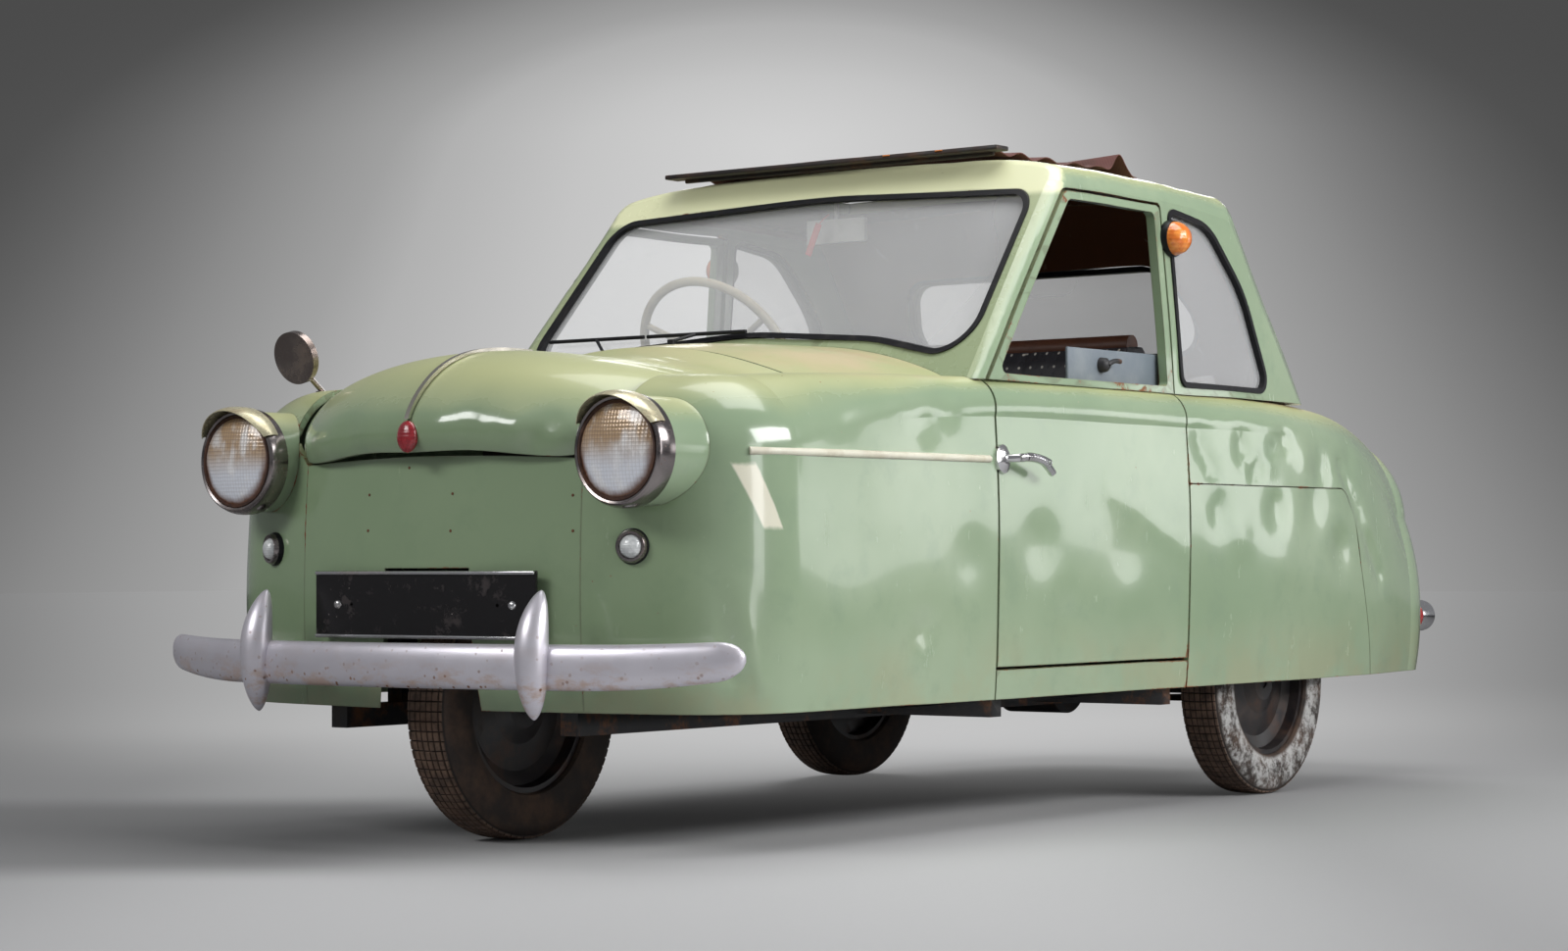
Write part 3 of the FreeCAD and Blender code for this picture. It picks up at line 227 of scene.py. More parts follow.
def light_the_scene():
    """A studio wall that falls from pale grey to dark, and soft boxes above and to the car's left."""
    scene = bpy.context.scene
    scene.view_settings.view_transform = "Standard"
    world = bpy.data.worlds.new("studio")
    scene.world = world
    world.use_nodes = True
    sky = Shading(world.node_tree)
    way = sky.node("TexCoord", output="Generated")

    def along(direction):
        return sky.node("VectorMath", {0: way, 1: direction}, output="Value", operation="DOT_PRODUCT")

    # The wall is palest low down behind the car. It darkens to both sides and, faster, upward.
    ahead = along((-SINE, COSINE, 0)).larger(0.2)
    rise = along((0, 0, 1)) / ahead
    width = (1.4675 - rise * 3.751).larger(0.7)
    across = along((COSINE, SINE, 0)) / ahead * 4.22 / width
    above = (rise * 11.25 - 1.4035).larger(0)
    spread = (across * across + above * above).alone("SQRT")
    grey = sky.node("ValToRGB", {0: spread / WALL_REACH})
    ramp = grey.socket.node.color_ramp
    ramp.interpolation = "B_SPLINE"
    while len(ramp.elements) < len(WALL_STOPS):
        ramp.elements.new(1)
    for element, (position, level) in zip(ramp.elements, WALL_STOPS):
        element.position = position
        element.color = (level, level, level, 1)
    seen = sky.node("LightPath", output="Is Camera Ray")
    seen = seen.larger(sky.node("LightPath", output="Is Transmission Ray"))
    lit = sky.node("Background", {"Color": (0.6, 0.61, 0.63), "Strength": 0.34})
    wall = sky.node("Background", {"Color": grey, "Strength": 1})
    mixed = sky.node("MixShader", {0: seen, 1: lit, 2: wall})
    sky.feed(world.node_tree.nodes["World Output"].inputs["Surface"], mixed)

    soft_box("side", (4.6, 0.4, 2.8), (0.4, 0, 0.5), 3.6, 1.4, 190, 0.45)
    soft_box("rear_side", (3.9, 4.7, 1.1), (0.6, 0.2, 0.6), 2.4, 1.1, 17, 0.8)
    soft_box("low_side", (5, -1.4, 1.2), (0.6, -0.3, 0.5), 1, 1.8, 22)
    soft_box("top", (0.6, 0, 4.2), (0, 0.2, 0), 2.2, 3.6, 95)
    soft_box("front", (-1.2, -5, 3), (0, -0.8, 0.9), 2.2, 1.2, 78)
    soft_box("rear", (-2.6, 4.4, 2.8), (0, 0.8, 0.6), 2.6, 1.6, 70)


def lay_floor():
    bpy.ops.mesh.primitive_plane_add(size=80, location=(0, 0, 0))
    floor = bpy.context.object
    floor.name = "floor"
    floor.data.materials.append(FLOOR)


# ------------------------ looks
def floor_look():
    """Pale studio paint with a painted pool of light round the car that darkens to the sides, a painted
    shadow band behind the car on the left, and far off a painted glow that fades into the wall.
    """
    look = Look("floor_grey", roughness=0.8)
    x, y = look.axis("X"), look.axis("Y")
    # Both are measured from the camera: across its line of sight, and away from it.
    across = COSINE * x + SINE * y + 0.216
    away = (COSINE * y - SINE * x + 7.15).larger(0.5)
    seen = look.node("LightPath", output="Is Camera Ray")
    fade = look.step(away + 0.5 * look.noise(0.5, 3), 6.8, 11)
    # Painted light: the floor is painted palest near the car and darker to the sides.
    side = look.step((across + 0.25) * (across + 0.25), 0.05, 1.7)
    near = look.mix((0.455, 0.455, 0.46), (0.26, 0.26, 0.264), side)
    # Painted shadow: a band of the car's shadow behind it on the left.
    shaded = look.step(away, 5.35, 5.75) * look.step(away, 7.4, 6.9) * look.step(across, -0.4, -0.95)
    near = look.mix(near, (0.14, 0.14, 0.142), 0.8 * shaded)
    look.set("Base Color", look.mix(near, (0.04, 0.04, 0.04), fade))
    # Painted glow: far off, camera rays see the floor glow with the wall's greys.
    out = across / away * 2.9
    wall = look.mix((0.44, 0.44, 0.44), (0.168, 0.168, 0.168), look.step(out * out, 0.02, 0.62))
    look.set("Emission Color", look.mix((0, 0, 0), wall, fade * seen))
    look.set("Emission Strength", 1)
    return look.material


RUST_DARK, RUST_PALE = (0.11, 0.036, 0.014), (0.3, 0.125, 0.048)


def rust_of(look, scale=90):
    return look.mix(RUST_DARK, RUST_PALE, look.noise(scale, 4, 0.6))


def paint_look(name, patch=False, inner_brown=False):
    """Old sage enamel: chalky and yellowed where it faces up, chipped to rust along its edges, with painted
    shade along its edges and folds and on faces that look forward, and on the roof painted light on its front
    header.
    """
    look = Look(name, coat_roughness=0.06)
    cloud = look.noise(1.7, 4, 0.55)
    fine = look.noise(11, 5, 0.62)
    green = look.mix((0.262, 0.352, 0.225), (0.32, 0.405, 0.27), look.step(cloud, 0.35, 0.68))
    green = look.mix(green, (0.235, 0.32, 0.215), 0.4 * look.step(fine, 0.5, 0.72))
    up, front = look.facing("Z"), look.facing("Y")
    # Painted shade: faces that look forward are painted a darker green.
    green = look.mix(green, (0.225, 0.325, 0.17), 0.55 * look.step(front, -0.7, -0.98))
    sunned = look.step(up + 0.35 * (cloud - 0.5), 0.4, 0.96)
    green = look.mix(green, (0.52, 0.52, 0.235), sunned * 0.72)
    far_back = look.rise("Y", -1.1, -0.55)
    pink = look.patchy(3.1, 6, 0.62, 0.42, 0.62) * look.step(up, 0.8, 0.98)
    green = look.mix(green, (0.61, 0.47, 0.3), 0.8 * pink * far_back)
    low = look.rise("Z", 0.42, 0.26) * look.patchy(5, 5, 0.6, 0.4, 0.62)
    green = look.mix(green, (0.36, 0.33, 0.19), 0.4 * low)
    if patch:
        slant = look.axis("Y") + 0.4 * (look.axis("Z") - 0.573) + 1.235
        ragged = 0.012 * (look.noise(48, 5) - 0.5)
        inside = look.step(slant * slant + 0.008 * ragged, 0.00046, 0.00028)
        level = look.axis("Z") + ragged
        mended = inside * look.step(level, 0.568, 0.578) * look.step(level, 0.69, 0.68)
        green = look.mix(green, (0.76, 0.74, 0.6), mended)
    if inner_brown:
        # The roof's forward-facing front header is painted pale cream: partly its faded paint, partly painted
        # light.
        header_fade_and_light = look.rise("Z", 1.244, 1.262) * look.step(front, -0.15, -0.45)
        green = look.mix(green, (0.86, 0.87, 0.56), 0.85 * header_fade_and_light)
        green = look.mix(green, (0.13, 0.05, 0.024), look.step(up, -0.35, -0.55))
        chip = look.spot((0.584, -0.232, 1.282), (0.04, 0.03, 0.026)) + 0.3 * look.noise(70, 4)
        green = look.mix(green, (0.8, 0.8, 0.76), look.step(chip, 0.34, 0.42))

    edge = look.attribute("edge")
    spots = look.noise(60, 5, 0.7)
    patches = look.patchy(3.3, 3, 0.5, 0.5, 0.66)
    low_edge = look.rise("Z", 0.4, 0.29)
    chip = look.step(edge * (0.3 + spots + 0.16 * patches + 0.05 * low_edge), 0.88, 0.96)
    sparse = look.patchy(4, 2, 0.5, 0.56, 0.68)
    specks = look.step(look.cells(30), 0.06, 0.035) * sparse
    bare = chip.larger(specks)
    # Painted shade: a dark line along the panel's rims and folds.
    painted_edge_shade = 0.4 * look.step(edge, 0.8, 1)
    shown = look.mix(green, (0.12, 0.11, 0.065), painted_edge_shade)
    colour = look.mix(shown, rust_of(look), bare)

    dull = look.patchy(6, 5, 0.6, 0.4, 0.75)
    scratched = look.step(look.noise(30, 6, 0.7, look.stretch(1, 1, 0.25)), 0.58, 0.7)
    rough = 0.17 + 0.1 * dull + 0.22 * sunned + 0.1 * scratched
    look.set("Coat Weight", 0.65 * (1 - bare) * (1 - 0.6 * sunned))
    height = look.noise(260, 2) * 0.05 + look.noise(38, 4, 0.6) * 0.1 - bare * 0.6
    return look.done(colour, rough * (1 - bare) + bare * 0.8, height, 0.3, 0.001)


def chrome_look(name, colour=(0.78, 0.78, 0.8), pitting=0.5):
    look = Look(name)
    haze = look.noise(14, 5, 0.6)
    pits = look.step(look.cells(190), 0.16, 0.1) * look.patchy(9, 3, 0.5, 0.48, 0.62)
    film = look.patchy(7, 5, 0.65, 0.5, 0.75)
    bare = (pits * pitting).larger(0.55 * pitting * film)
    shade = look.mix(colour, (0.42, 0.4, 0.38), look.step(haze, 0.4, 0.8) * 0.6)
    look.set("Metallic", 1 - 0.75 * bare)
    return look.done(look.mix(shade, rust_of(look, 140), bare),
                     0.1 + 0.22 * haze * pitting + 0.5 * bare,
                     look.noise(60, 3) * 0.4 - bare, 0.25, 0.0006)


def alloy_look():
    """Satin silver bumper metal, stained brown and pitted along its lower half."""
    look = Look("bumper_metal")
    low = look.rise("Z", 0.35, 0.296)
    cloud = look.noise(5, 5, 0.6)
    silver = look.mix((0.62, 0.59, 0.66), (0.8, 0.78, 0.84), cloud)
    stain = look.step(look.noise(16, 6, 0.65, look.stretch(1, 1, 2.2)), 0.46, 0.66)
    silver = look.mix(silver, (0.5, 0.33, 0.24), 0.75 * stain * (0.12 + 0.88 * low))
    pits = look.step(look.cells(55) + 0.12 * look.noise(200, 3), 0.27, 0.17)
    pits = pits * look.patchy(3.2, 3, 0.5, 0.32, 0.5) * (0.35 + 0.65 * low)
    look.set("Metallic", 0.62 - 0.55 * pits - 0.25 * stain * low)
    grain = look.noise(300, 3) * 0.12 + look.noise(26, 3) * 0.3 - pits * 0.8
    return look.done(look.mix(silver, rust_of(look, 120), pits),
                     0.3 + 0.18 * look.noise(24, 5) + 0.4 * pits, grain, 0.3, 0.0008)


def rubber_look(name):
    look = Look(name, specular_ior_level=0.25)
    dust = look.patchy(40, 5, 0.65, 0.5, 0.78)
    shade = look.mix((0.008, 0.008, 0.01), (0.04, 0.035, 0.033), 0.5 * dust)
    return look.done(shade, 0.38 + 0.35 * dust, look.noise(220, 3), 0.25, 0.0004)


def tyre_look(name, centre, whitened):
    """Brown dusty rubber with painted shade in the tread grooves; one tyre keeps flakes of white sidewall
    paint.
    """
    look = Look(name)
    dust = look.patchy(13, 6, 0.65, 0.38, 0.7)
    shade = look.mix((0.02, 0.013, 0.01), (0.105, 0.062, 0.042), 0.75 * dust)
    radius = look.away_from(centre, (0, 1, 1))
    if whitened:
        side = look.step(radius, 0.238, 0.23) * look.step(radius, 0.162, 0.172)
        flakes = look.step(look.noise(34, 9, 0.78) + 0.9 * (radius - 0.2), 0.6, 0.4)
        outer = look.step(look.facing("X"), 0.1, 0.4)
        shade = look.mix(shade, (0.5, 0.5, 0.49), side * 0.8 * flakes * outer)
    crown, block = look.step(radius, 0.235, 0.2385), look.attribute("block")
    scuffed = 0.35 + 0.65 * look.patchy(55, 5, 0.6, 0.35, 0.65)
    # Painted shade: the crown between the blocks is painted near black.
    shade = look.mix(shade, (0.006, 0.004, 0.003), crown * (1 - block))
    shade = look.mix(shade, (0.17, 0.105, 0.072), 0.75 * block * scuffed)
    return look.done(shade, 0.7 + 0.2 * dust, look.noise(140, 4, 0.6), 0.35, 0.0007)


def worn_look(name, colour, worn, rust=0.5, roughness=0.5, metallic=0, scale=18):
    """A painted or bare surface with a second colour where it is worn, and rust in blotches."""
    look = Look(name, metallic=metallic)
    wear = look.patchy(scale, 6, 0.62, 0.42, 0.7)
    blotch = look.patchy(scale * 0.6, 7, 0.68, 0.52, 0.66) * rust
    shade = look.mix(colour, worn, 0.8 * wear)
    return look.done(look.mix(shade, rust_of(look, scale * 5), blotch),
                     roughness + 0.25 * wear + 0.2 * blotch,
                     look.noise(scale * 9, 4, 0.6) * 0.6 + blotch, 0.35, 0.0008)


def glass_look(name):
    """Old window glass with a pale film that comes and goes."""
    look = Look(name, base_color=(0.92, 0.93, 0.94))
    film = look.step(look.noise(1.6, 2, 0.5, look.stretch(1, 1, 0.5)), 0.35, 0.75)
    look.set("Alpha", 0.24 + 0.08 * film)
    look.set("Roughness", 0.02 + 0.05 * film)
    return look.material


def lamp_glass_look(name, centres):
    """Fluted headlamp glass: fine upright and level ribs over a bowl that is brown at the top, with painted
    pale reflections and glints lower down.
    """
    look = Look(name, coat_weight=0.8, coat_roughness=0.03)
    x, z = look.axis("X"), look.axis("Z")
    ribs = (x * 900).sine()
    levels = (z * 900).sine()
    mesh = look.step(ribs.larger(levels), 0.8, 0.98)
    # Painted reflection: the glass is brown above and pale blue-white below.
    drop = look.step(z + 0.02 * (look.noise(30, 4) - 0.5), 0.735, 0.675)
    shade = look.mix((0.54, 0.37, 0.22), (0.86, 0.89, 0.97), drop)
    # Painted glints: white patches over the glass.
    shine = look.step(look.noise(26, 3, 0.5, look.stretch(1, 1, 0.55)), 0.46, 0.66)
    shade = look.mix(shade, (0.97, 0.97, 0.98), 0.8 * shine)
    shade = look.mix(shade, (0.16, 0.09, 0.05), 0.55 * mesh * look.step(z, 0.69, 0.735))
    shade = look.mix(shade, (0.3, 0.24, 0.2), 0.25 * mesh)
    bands = []
    for centre in centres:
        away = look.away_from(centre, (1, 0, 1))
        rim = look.step(away + 0.012 * look.noise(40, 4), 0.07, 0.088)
        bands.append(rim * look.step(away, 0.12, 0.1))
    ring = bands[0].larger(bands[1])
    shade = look.mix(shade, (0.135, 0.05, 0.02), ring * look.step(z, 0.74, 0.69).larger(0.35))
    look.set("Metallic", 0.12 * (1 - ring))
    return look.done(shade, 0.16 + 0.2 * shine, ribs * 0.5 + levels * 0.35, 0.5, 0.0007)


def lens_look(name, dark, pale, ribs=700, roughness=0.12):
    look = Look(name, coat_weight=0.9, coat_roughness=0.04)
    swirl = look.noise(45, 4, 0.6)
    return look.done(look.mix(dark, pale, look.step(swirl, 0.38, 0.66)), roughness + 0.15 * swirl,
                     (look.axis("Z") * ribs).sine(), 0.35, 0.0006)


def quilt_look():
    """Black seat vinyl in small lozenges, with a pale stitch at each crossing."""
    look = Look("seat_quilt")
    across, up = look.axis("X"), look.axis("Z")
    first, second = ((across + up) * 105).sine(), ((across - up) * 105).sine()
    stitch = look.step(first * second, 0.86, 0.97)
    line = look.step((first * first).larger(second * second), 0.16, 0)
    grain = look.noise(300, 3)
    black = look.mix((0.016, 0.016, 0.02), (0.04, 0.038, 0.044), look.noise(12, 4))
    return look.done(look.mix(black, (0.55, 0.52, 0.47), 0.85 * stitch), 0.42 + 0.2 * grain,
                     0.2 * grain - line + 0.5 * stitch, 0.5, 0.0014)


def cloth_look(name, thread, weft):
    """Coarse woven cloth, stained in patches."""
    look = Look(name)
    weave = (look.axis("X") * 900).sine() * (look.axis("Y") * 900).sine()
    patch = look.patchy(6, 6, 0.65, 0.42, 0.7)
    shade = look.mix(thread, weft, look.step(weave, -0.4, 0.6))
    return look.done(look.mix(shade, (0.05, 0.03, 0.02), 0.6 * patch), 0.85,
                     weave * 0.5 + look.noise(30, 4), 0.45, 0.0008)


def plate_look():
    look = Look("plate_enamel")
    chips = look.step(look.cells(60), 0.08, 0.05) * look.patchy(7, 3, 0.5, 0.5, 0.6)
    scuff = look.patchy(26, 6, 0.7, 0.56, 0.72)
    black = look.mix((0.01, 0.009, 0.01), (0.06, 0.045, 0.045), 0.7 * scuff)
    return look.done(look.mix(black, (0.42, 0.38, 0.36), 0.8 * chips), 0.22 + 0.35 * scuff,
                     look.noise(90, 3) - chips, 0.2, 0.0005)


FLOOR = floor_look()
PAINT = paint_look("sage_enamel")
WING_PAINT = paint_look("sage_enamel_patched", patch=True)
ROOF_PAINT = paint_look("sage_enamel_roof", inner_brown=True)
CHROME = chrome_look("old_chrome")
TRIM_CHROME = chrome_look("trim_chrome", (0.7, 0.66, 0.58), 0.8)
RIM_CHROME = chrome_look("rim_chrome", (0.27, 0.24, 0.24), 0.9)
SEAL_BROWN = worn_look("lamp_seal", (0.075, 0.03, 0.016), (0.03, 0.014, 0.01), 0.4, 0.5, 0, 40)
LAMP_METAL = worn_look("cap_cream", (0.62, 0.58, 0.4), (0.46, 0.4, 0.24), 0.35, 0.22, 0.45, 30)
MIRROR_METAL = chrome_look("mirror_metal", (0.3, 0.25, 0.23), 0.9)
BUMPER_METAL = alloy_look()
RUBBER = rubber_look("window_rubber")
GLASS = glass_look("window_glass")
CREAM = worn_look("cream_strip", (0.72, 0.7, 0.58), (0.58, 0.54, 0.42), 0.12, 0.35)
LAMP_GLASS = lamp_glass_look("fluted_glass", [(side * 0.469, -1.44, 0.708) for side, _ in SIDES])
AMBER = lens_look("amber_plastic", (0.72, 0.17, 0.02), (0.86, 0.3, 0.05))
TAIL_RED = lens_look("tail_plastic", (0.34, 0.01, 0.012), (0.56, 0.035, 0.03))
ENAMEL_RED = lens_look("red_enamel", (0.27, 0.008, 0.016), (0.4, 0.02, 0.03), 900, 0.2)
CLEAR_LENS = lens_look("side_lamp_glass", (0.55, 0.57, 0.58), (0.86, 0.88, 0.88), 1400)
PLATE = plate_look()
BLACK_IRON = worn_look("chassis_black", (0.022, 0.022, 0.024), (0.06, 0.05, 0.045), 0.7, 0.55)
FLOOR_PAINT = worn_look("floor_paint", (0.105, 0.1, 0.085), (0.06, 0.05, 0.04), 0.6, 0.65)
CAST_IRON = worn_look("engine_iron", (0.09, 0.086, 0.08), (0.045, 0.04, 0.036), 0.6, 0.55, 0.5, 26)
DASH_PAINT = worn_look("dash_paint", (0.34, 0.4, 0.26), (0.26, 0.3, 0.2), 0.15, 0.35)
IVORY = worn_look("ivory_plastic", (0.66, 0.6, 0.44), (0.52, 0.44, 0.3), 0, 0.28)
WHEEL_BLACK = worn_look("wheel_black", (0.014, 0.012, 0.013), (0.05, 0.036, 0.03), 0.15, 0.35)
QUILT = quilt_look()
BROWN_VINYL = worn_look("brown_vinyl", (0.105, 0.04, 0.022), (0.06, 0.024, 0.015), 0, 0.4, 0, 14)
DOOR_VINYL = worn_look("door_vinyl", (0.16, 0.19, 0.22), (0.24, 0.27, 0.29), 0, 0.45, 0, 12)
ROOF_CLOTH = cloth_look("roof_cloth", (0.1, 0.03, 0.03), (0.16, 0.07, 0.055))
ROOF_BAR = worn_look("roof_bar", (0.016, 0.012, 0.012), (0.05, 0.026, 0.02), 0.25, 0.45)
GREY_PLASTIC = worn_look("grey_plastic", (0.52, 0.52, 0.5), (0.4, 0.4, 0.38), 0, 0.4)
TAG_RED = worn_look("tag_red", (0.7, 0.05, 0.03), (0.5, 0.04, 0.03), 0, 0.6)
CLIP_ORANGE = worn_look("clip_orange", (0.72, 0.22, 0.03), (0.5, 0.14, 0.03), 0.2, 0.5)
RUST_SPOT = worn_look("bolt_rust", (0.15, 0.055, 0.022), (0.07, 0.03, 0.018), 0.4, 0.75, 0, 60)


# ------------------------ mesh helpers
def only(piece):
    """Leave just this piece selected and active."""
    for other in bpy.context.selected_objects:
        other.select_set(False)
    piece.select_set(True)
    bpy.context.view_layer.objects.active = piece


def apply_modifier(piece, kind, **settings):
    only(piece)
    modifier = piece.modifiers.new(kind.lower(), kind)
    for name, value in settings.items():
        setattr(modifier, name, value)
    bpy.ops.object.modifier_apply(modifier=modifier.name)


def edit(piece, mode="VERT"):
    only(piece)
    bpy.ops.object.mode_set(mode="EDIT")
    bpy.ops.mesh.select_mode(type=mode)
    bpy.ops.mesh.select_all(action="SELECT")


def leave():
    bpy.ops.object.mode_set(mode="OBJECT")


def points_of(piece):
    found = np.empty(len(piece.data.vertices) * 3)
    piece.data.vertices.foreach_get("co", found)
    return found.reshape(-1, 3)


def move_points(piece, points):
    piece.data.vertices.foreach_set("co", np.ascontiguousarray(points, dtype=float).ravel())
    piece.data.update()


def smooth(piece, degrees=40):
    only(piece)
    bpy.ops.object.shade_smooth_by_angle(angle=math.radians(degrees))


def keep(piece, name, material, replaces=(), body="body"):
    """Name a finished piece, give it its material, seat it on its body and hide the CAD nodes that it stands
    for.
    """
    piece.name = name
    piece.data.name = name
    piece.data.materials.clear()
    piece.data.materials.append(material)
    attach(piece, body)
    if replaces:
        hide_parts(*replaces)
    return piece


def touch(panel, start, way):
    """Where a straight line from a start meets a beaten panel."""
    bpy.context.view_layer.update()
    hit, place, _, _ = bpy.data.objects[panel + "_skin"].ray_cast(Vector(start), Vector(way).normalized())
    if not hit:
        raise ValueError("nothing to touch on " + panel)
    return place


def copy_of(node, name):
    """A new object with its own copy of a CAD node's mesh."""
    piece = bpy.data.objects.new(name, NODES[node].data.copy())
    bpy.context.scene.collection.objects.link(piece)
    return piece


def mm(*numbers):
    """Pairs of radius and height for a turned profile, from millimetres."""
    return [(radius / 1000, height / 1000) for radius, height in zip(numbers[::2], numbers[1::2])]


def primitive(kind, **settings):
    """A plain mesh at the origin, to be shaped by its points."""
    bpy.ops.object.select_all(action="DESELECT")
    getattr(bpy.ops.mesh, "primitive_" + kind + "_add")(location=(0, 0, 0), **settings)
    return bpy.context.object


def weld(piece, degrees):
    """Close the seams, turn the faces outward and shade smooth up to an angle."""
    edit(piece)
    bpy.ops.mesh.remove_doubles(threshold=1e-5)
    bpy.ops.mesh.normals_make_consistent(inside=False)
    leave()
    smooth(piece, degrees)


def turned(profile, centre, axis, steps=48):
    """A body turned on an axis. The profile gives radius and height along the axis, going round once."""
    piece = primitive("circle", vertices=len(profile), radius=1)
    move_points(piece, [(radius, 0, height) for radius, height in profile])
    edit(piece)
    bpy.ops.mesh.spin(steps=steps, angle=math.tau, center=(0, 0, 0), axis=(0, 0, 1))
    leave()
    weld(piece, 40)
    turn = Vector((0, 0, 1)).rotation_difference(Vector(axis)).to_matrix().to_4x4()
    piece.data.transform(Matrix.Translation(centre) @ turn)
    piece.data.update()
    return piece


def turned_each(profile, places, steps=48):
    """The same turned body at each centre and axis, joined."""
    return joined([turned(profile, centre, axis, steps) for centre, axis in places])


def drawn_rod(points, radius, rings=6):
    """A round rod along a smooth line, closed at its ends."""
    curve = bpy.data.curves.new("rod", "CURVE")
    curve.dimensions = "3D"
    curve.bevel_depth = radius
    curve.bevel_resolution = rings // 2
    curve.use_fill_caps = True
    curve.resolution_u = 8
    line = curve.splines.new("NURBS")
    line.points.add(len(points) - 1)
    for point, place in zip(line.points, points):
        point.co = (*place, 1)
    line.order_u = min(3, len(points))
    line.use_endpoint_u = True
    rod = bpy.data.objects.new("rod", curve)
    bpy.context.scene.collection.objects.link(rod)
    only(rod)
    bpy.ops.object.convert(target="MESH")
    weld(bpy.context.object, 40)
    return bpy.context.object


def path(side, *numbers):
    """A line's points, from millimetres on the car's left; side -1 gives its mirror image."""
    return [(side * x / 1000, y / 1000, z / 1000)
            for x, y, z in zip(numbers[::3], numbers[1::3], numbers[2::3])]


def rounded_block(centre, size, radius):
    """A block with rounded edges; the cube is scaled, then bevelled in edit mode."""
    bpy.ops.object.select_all(action="DESELECT")
    bpy.ops.mesh.primitive_cube_add(size=1, location=centre, scale=size)
    piece = bpy.context.object
    only(piece)
    bpy.ops.object.transform_apply(location=True, rotation=True, scale=True)
    edit(piece, "EDGE")
    bpy.ops.mesh.bevel(offset=radius, segments=3, profile=0.5)
    leave()
    smooth(piece)
    return piece


def joined(pieces):
    only(pieces[0])
    for piece in pieces:
        piece.select_set(True)
    bpy.ops.object.join()
    return bpy.context.object


# ------------------------ beaten panels
def cut_in_squares(mesh, low, high, pitch):
    """Split a bmesh by planes at even steps, so that a dent has points to move."""
    for axis in range(3):
        normal = Vector([float(index == axis) for index in range(3)])
        place = low[axis] + pitch / 2
        while place < high[axis]:
            everything = mesh.verts[:] + mesh.edges[:] + mesh.faces[:]
            bmesh.ops.bisect_plane(mesh, geom=everything, plane_co=normal * place, plane_no=normal, dist=1e-5)
            place += pitch


def edge_closeness(mesh, points, reach=0.014):
    """1 on a fold or rim of the panel, falling to 0 a finger's width away."""
    tree_points = []
    for edge in mesh.edges:
        if len(edge.link_faces) != 2 or edge.calc_face_angle(0) > FOLD_ANGLE:
            first, second = edge.verts[0].co, edge.verts[1].co
            count = max(1, int((second - first).length / 0.006))
            tree_points += [first.lerp(second, i / count) for i in range(count + 1)]
    if not tree_points:
        return np.zeros(len(points))
    tree = KDTree(len(tree_points))
    for index, point in enumerate(tree_points):
        tree.insert(point, index)
    tree.balance()
    away = np.array([tree.find(point)[2] for point in points])
    return np.clip(1 - away / reach, 0, 1)


def unit(rows):
    return rows / np.maximum(np.linalg.norm(rows, axis=1, keepdims=True), 1e-9)


def outward(points):
    """The way out of the car's hull at each point, roughly."""
    x, y, z = points.T
    return unit(np.stack([x, 1.5 * (y - np.clip(y, -1.05, 1.1)), 0.8 * (z - 0.45)], axis=1))


def dent_field(points, dents):
    """The shift at each point and, for each dent, its slope and way in."""
    shift, slopes = np.zeros_like(points), []
    for start, end, width, depth, way in dents:
        start, end, way = np.array(start), np.array(end), np.array(way, dtype=float)
        way /= np.linalg.norm(way)
        along = end - start
        length = max(along @ along, 1e-12)
        share = np.clip((points - start) @ along / length, 0, 1)
        away = points - (start + share[:, None] * along)
        swell = depth * np.exp(-(away ** 2).sum(axis=1) / width ** 2)
        shift += swell[:, None] * way
        slopes.append((-2 * swell[:, None] * away / width ** 2, way))
    return shift, slopes


WAVES = [((9, 5, 13), 0.3), ((-6, 14, 4), 1.7), ((13, -9, 17), 2.9),
         ((4, 21, -8), 4.1), ((-17, 7, 19), 5.2)]


def wave_field(points, height):
    out = outward(points)
    shift, slope = np.zeros(len(points)), np.zeros_like(points)
    for wave, phase in WAVES:
        turn = points @ np.array(wave) + phase
        shift += height * np.sin(turn)
        slope += height * np.cos(turn)[:, None] * np.array(wave)
    return shift[:, None] * out, (slope, out)


def beaten(node, dents=(), wave=0.0005, material=PAINT):
    """The panel as it is now: the CAD surface with its dents and slight waves, and a mark along its edges for
    worn chips and painted edge shade.
    """
    skin = copy_of(node, node + "_skin")
    normals = np.empty(len(skin.data.loops) * 3, dtype=np.float32)
    skin.data.corner_normals.foreach_get("vector", normals)
    shade = skin.data.attributes.new("shade", "FLOAT_VECTOR", "CORNER")
    shade.data.foreach_set("vector", normals)

    mesh = bmesh.new()
    mesh.from_mesh(skin.data)
    bmesh.ops.remove_doubles(mesh, verts=mesh.verts, dist=1e-5)
    low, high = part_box(node)
    cut_in_squares(mesh, low, high, 0.028)
    closeness = edge_closeness(mesh, [vert.co for vert in mesh.verts])
    mesh.to_mesh(skin.data)
    mesh.free()

    points = points_of(skin)
    corner_points = np.empty(len(skin.data.loops), dtype=np.int32)
    skin.data.loops.foreach_get("vertex_index", corner_points)
    normals = np.empty(len(skin.data.loops) * 3, dtype=np.float32)
    skin.data.attributes["shade"].data.foreach_get("vector", normals)
    normals = normals.reshape(-1, 3).astype(float)
    shift, slopes = dent_field(points, dents)
    waves, wave_slope = wave_field(points, wave)
    turned_by = np.zeros_like(normals)
    for slope, way in slopes + [wave_slope]:
        way = way[corner_points] if way.ndim == 2 else way
        turned_by += slope[corner_points] * (normals * way).sum(axis=1)[:, None]
    normals = unit(normals - turned_by)
    move_points(skin, points + shift + waves)
    skin.data.attributes.remove(skin.data.attributes["shade"])
    skin.data.normals_split_custom_set(normals.tolist())
    # The edge mark feeds both the worn chips and the painted shade line along edges and folds.
    worn = skin.data.attributes.new("edge", "FLOAT", "POINT")
    worn.data.foreach_set("value", closeness.astype(np.float32))
    keep(skin, node + "_skin", material, [node], BODY_OF[node])


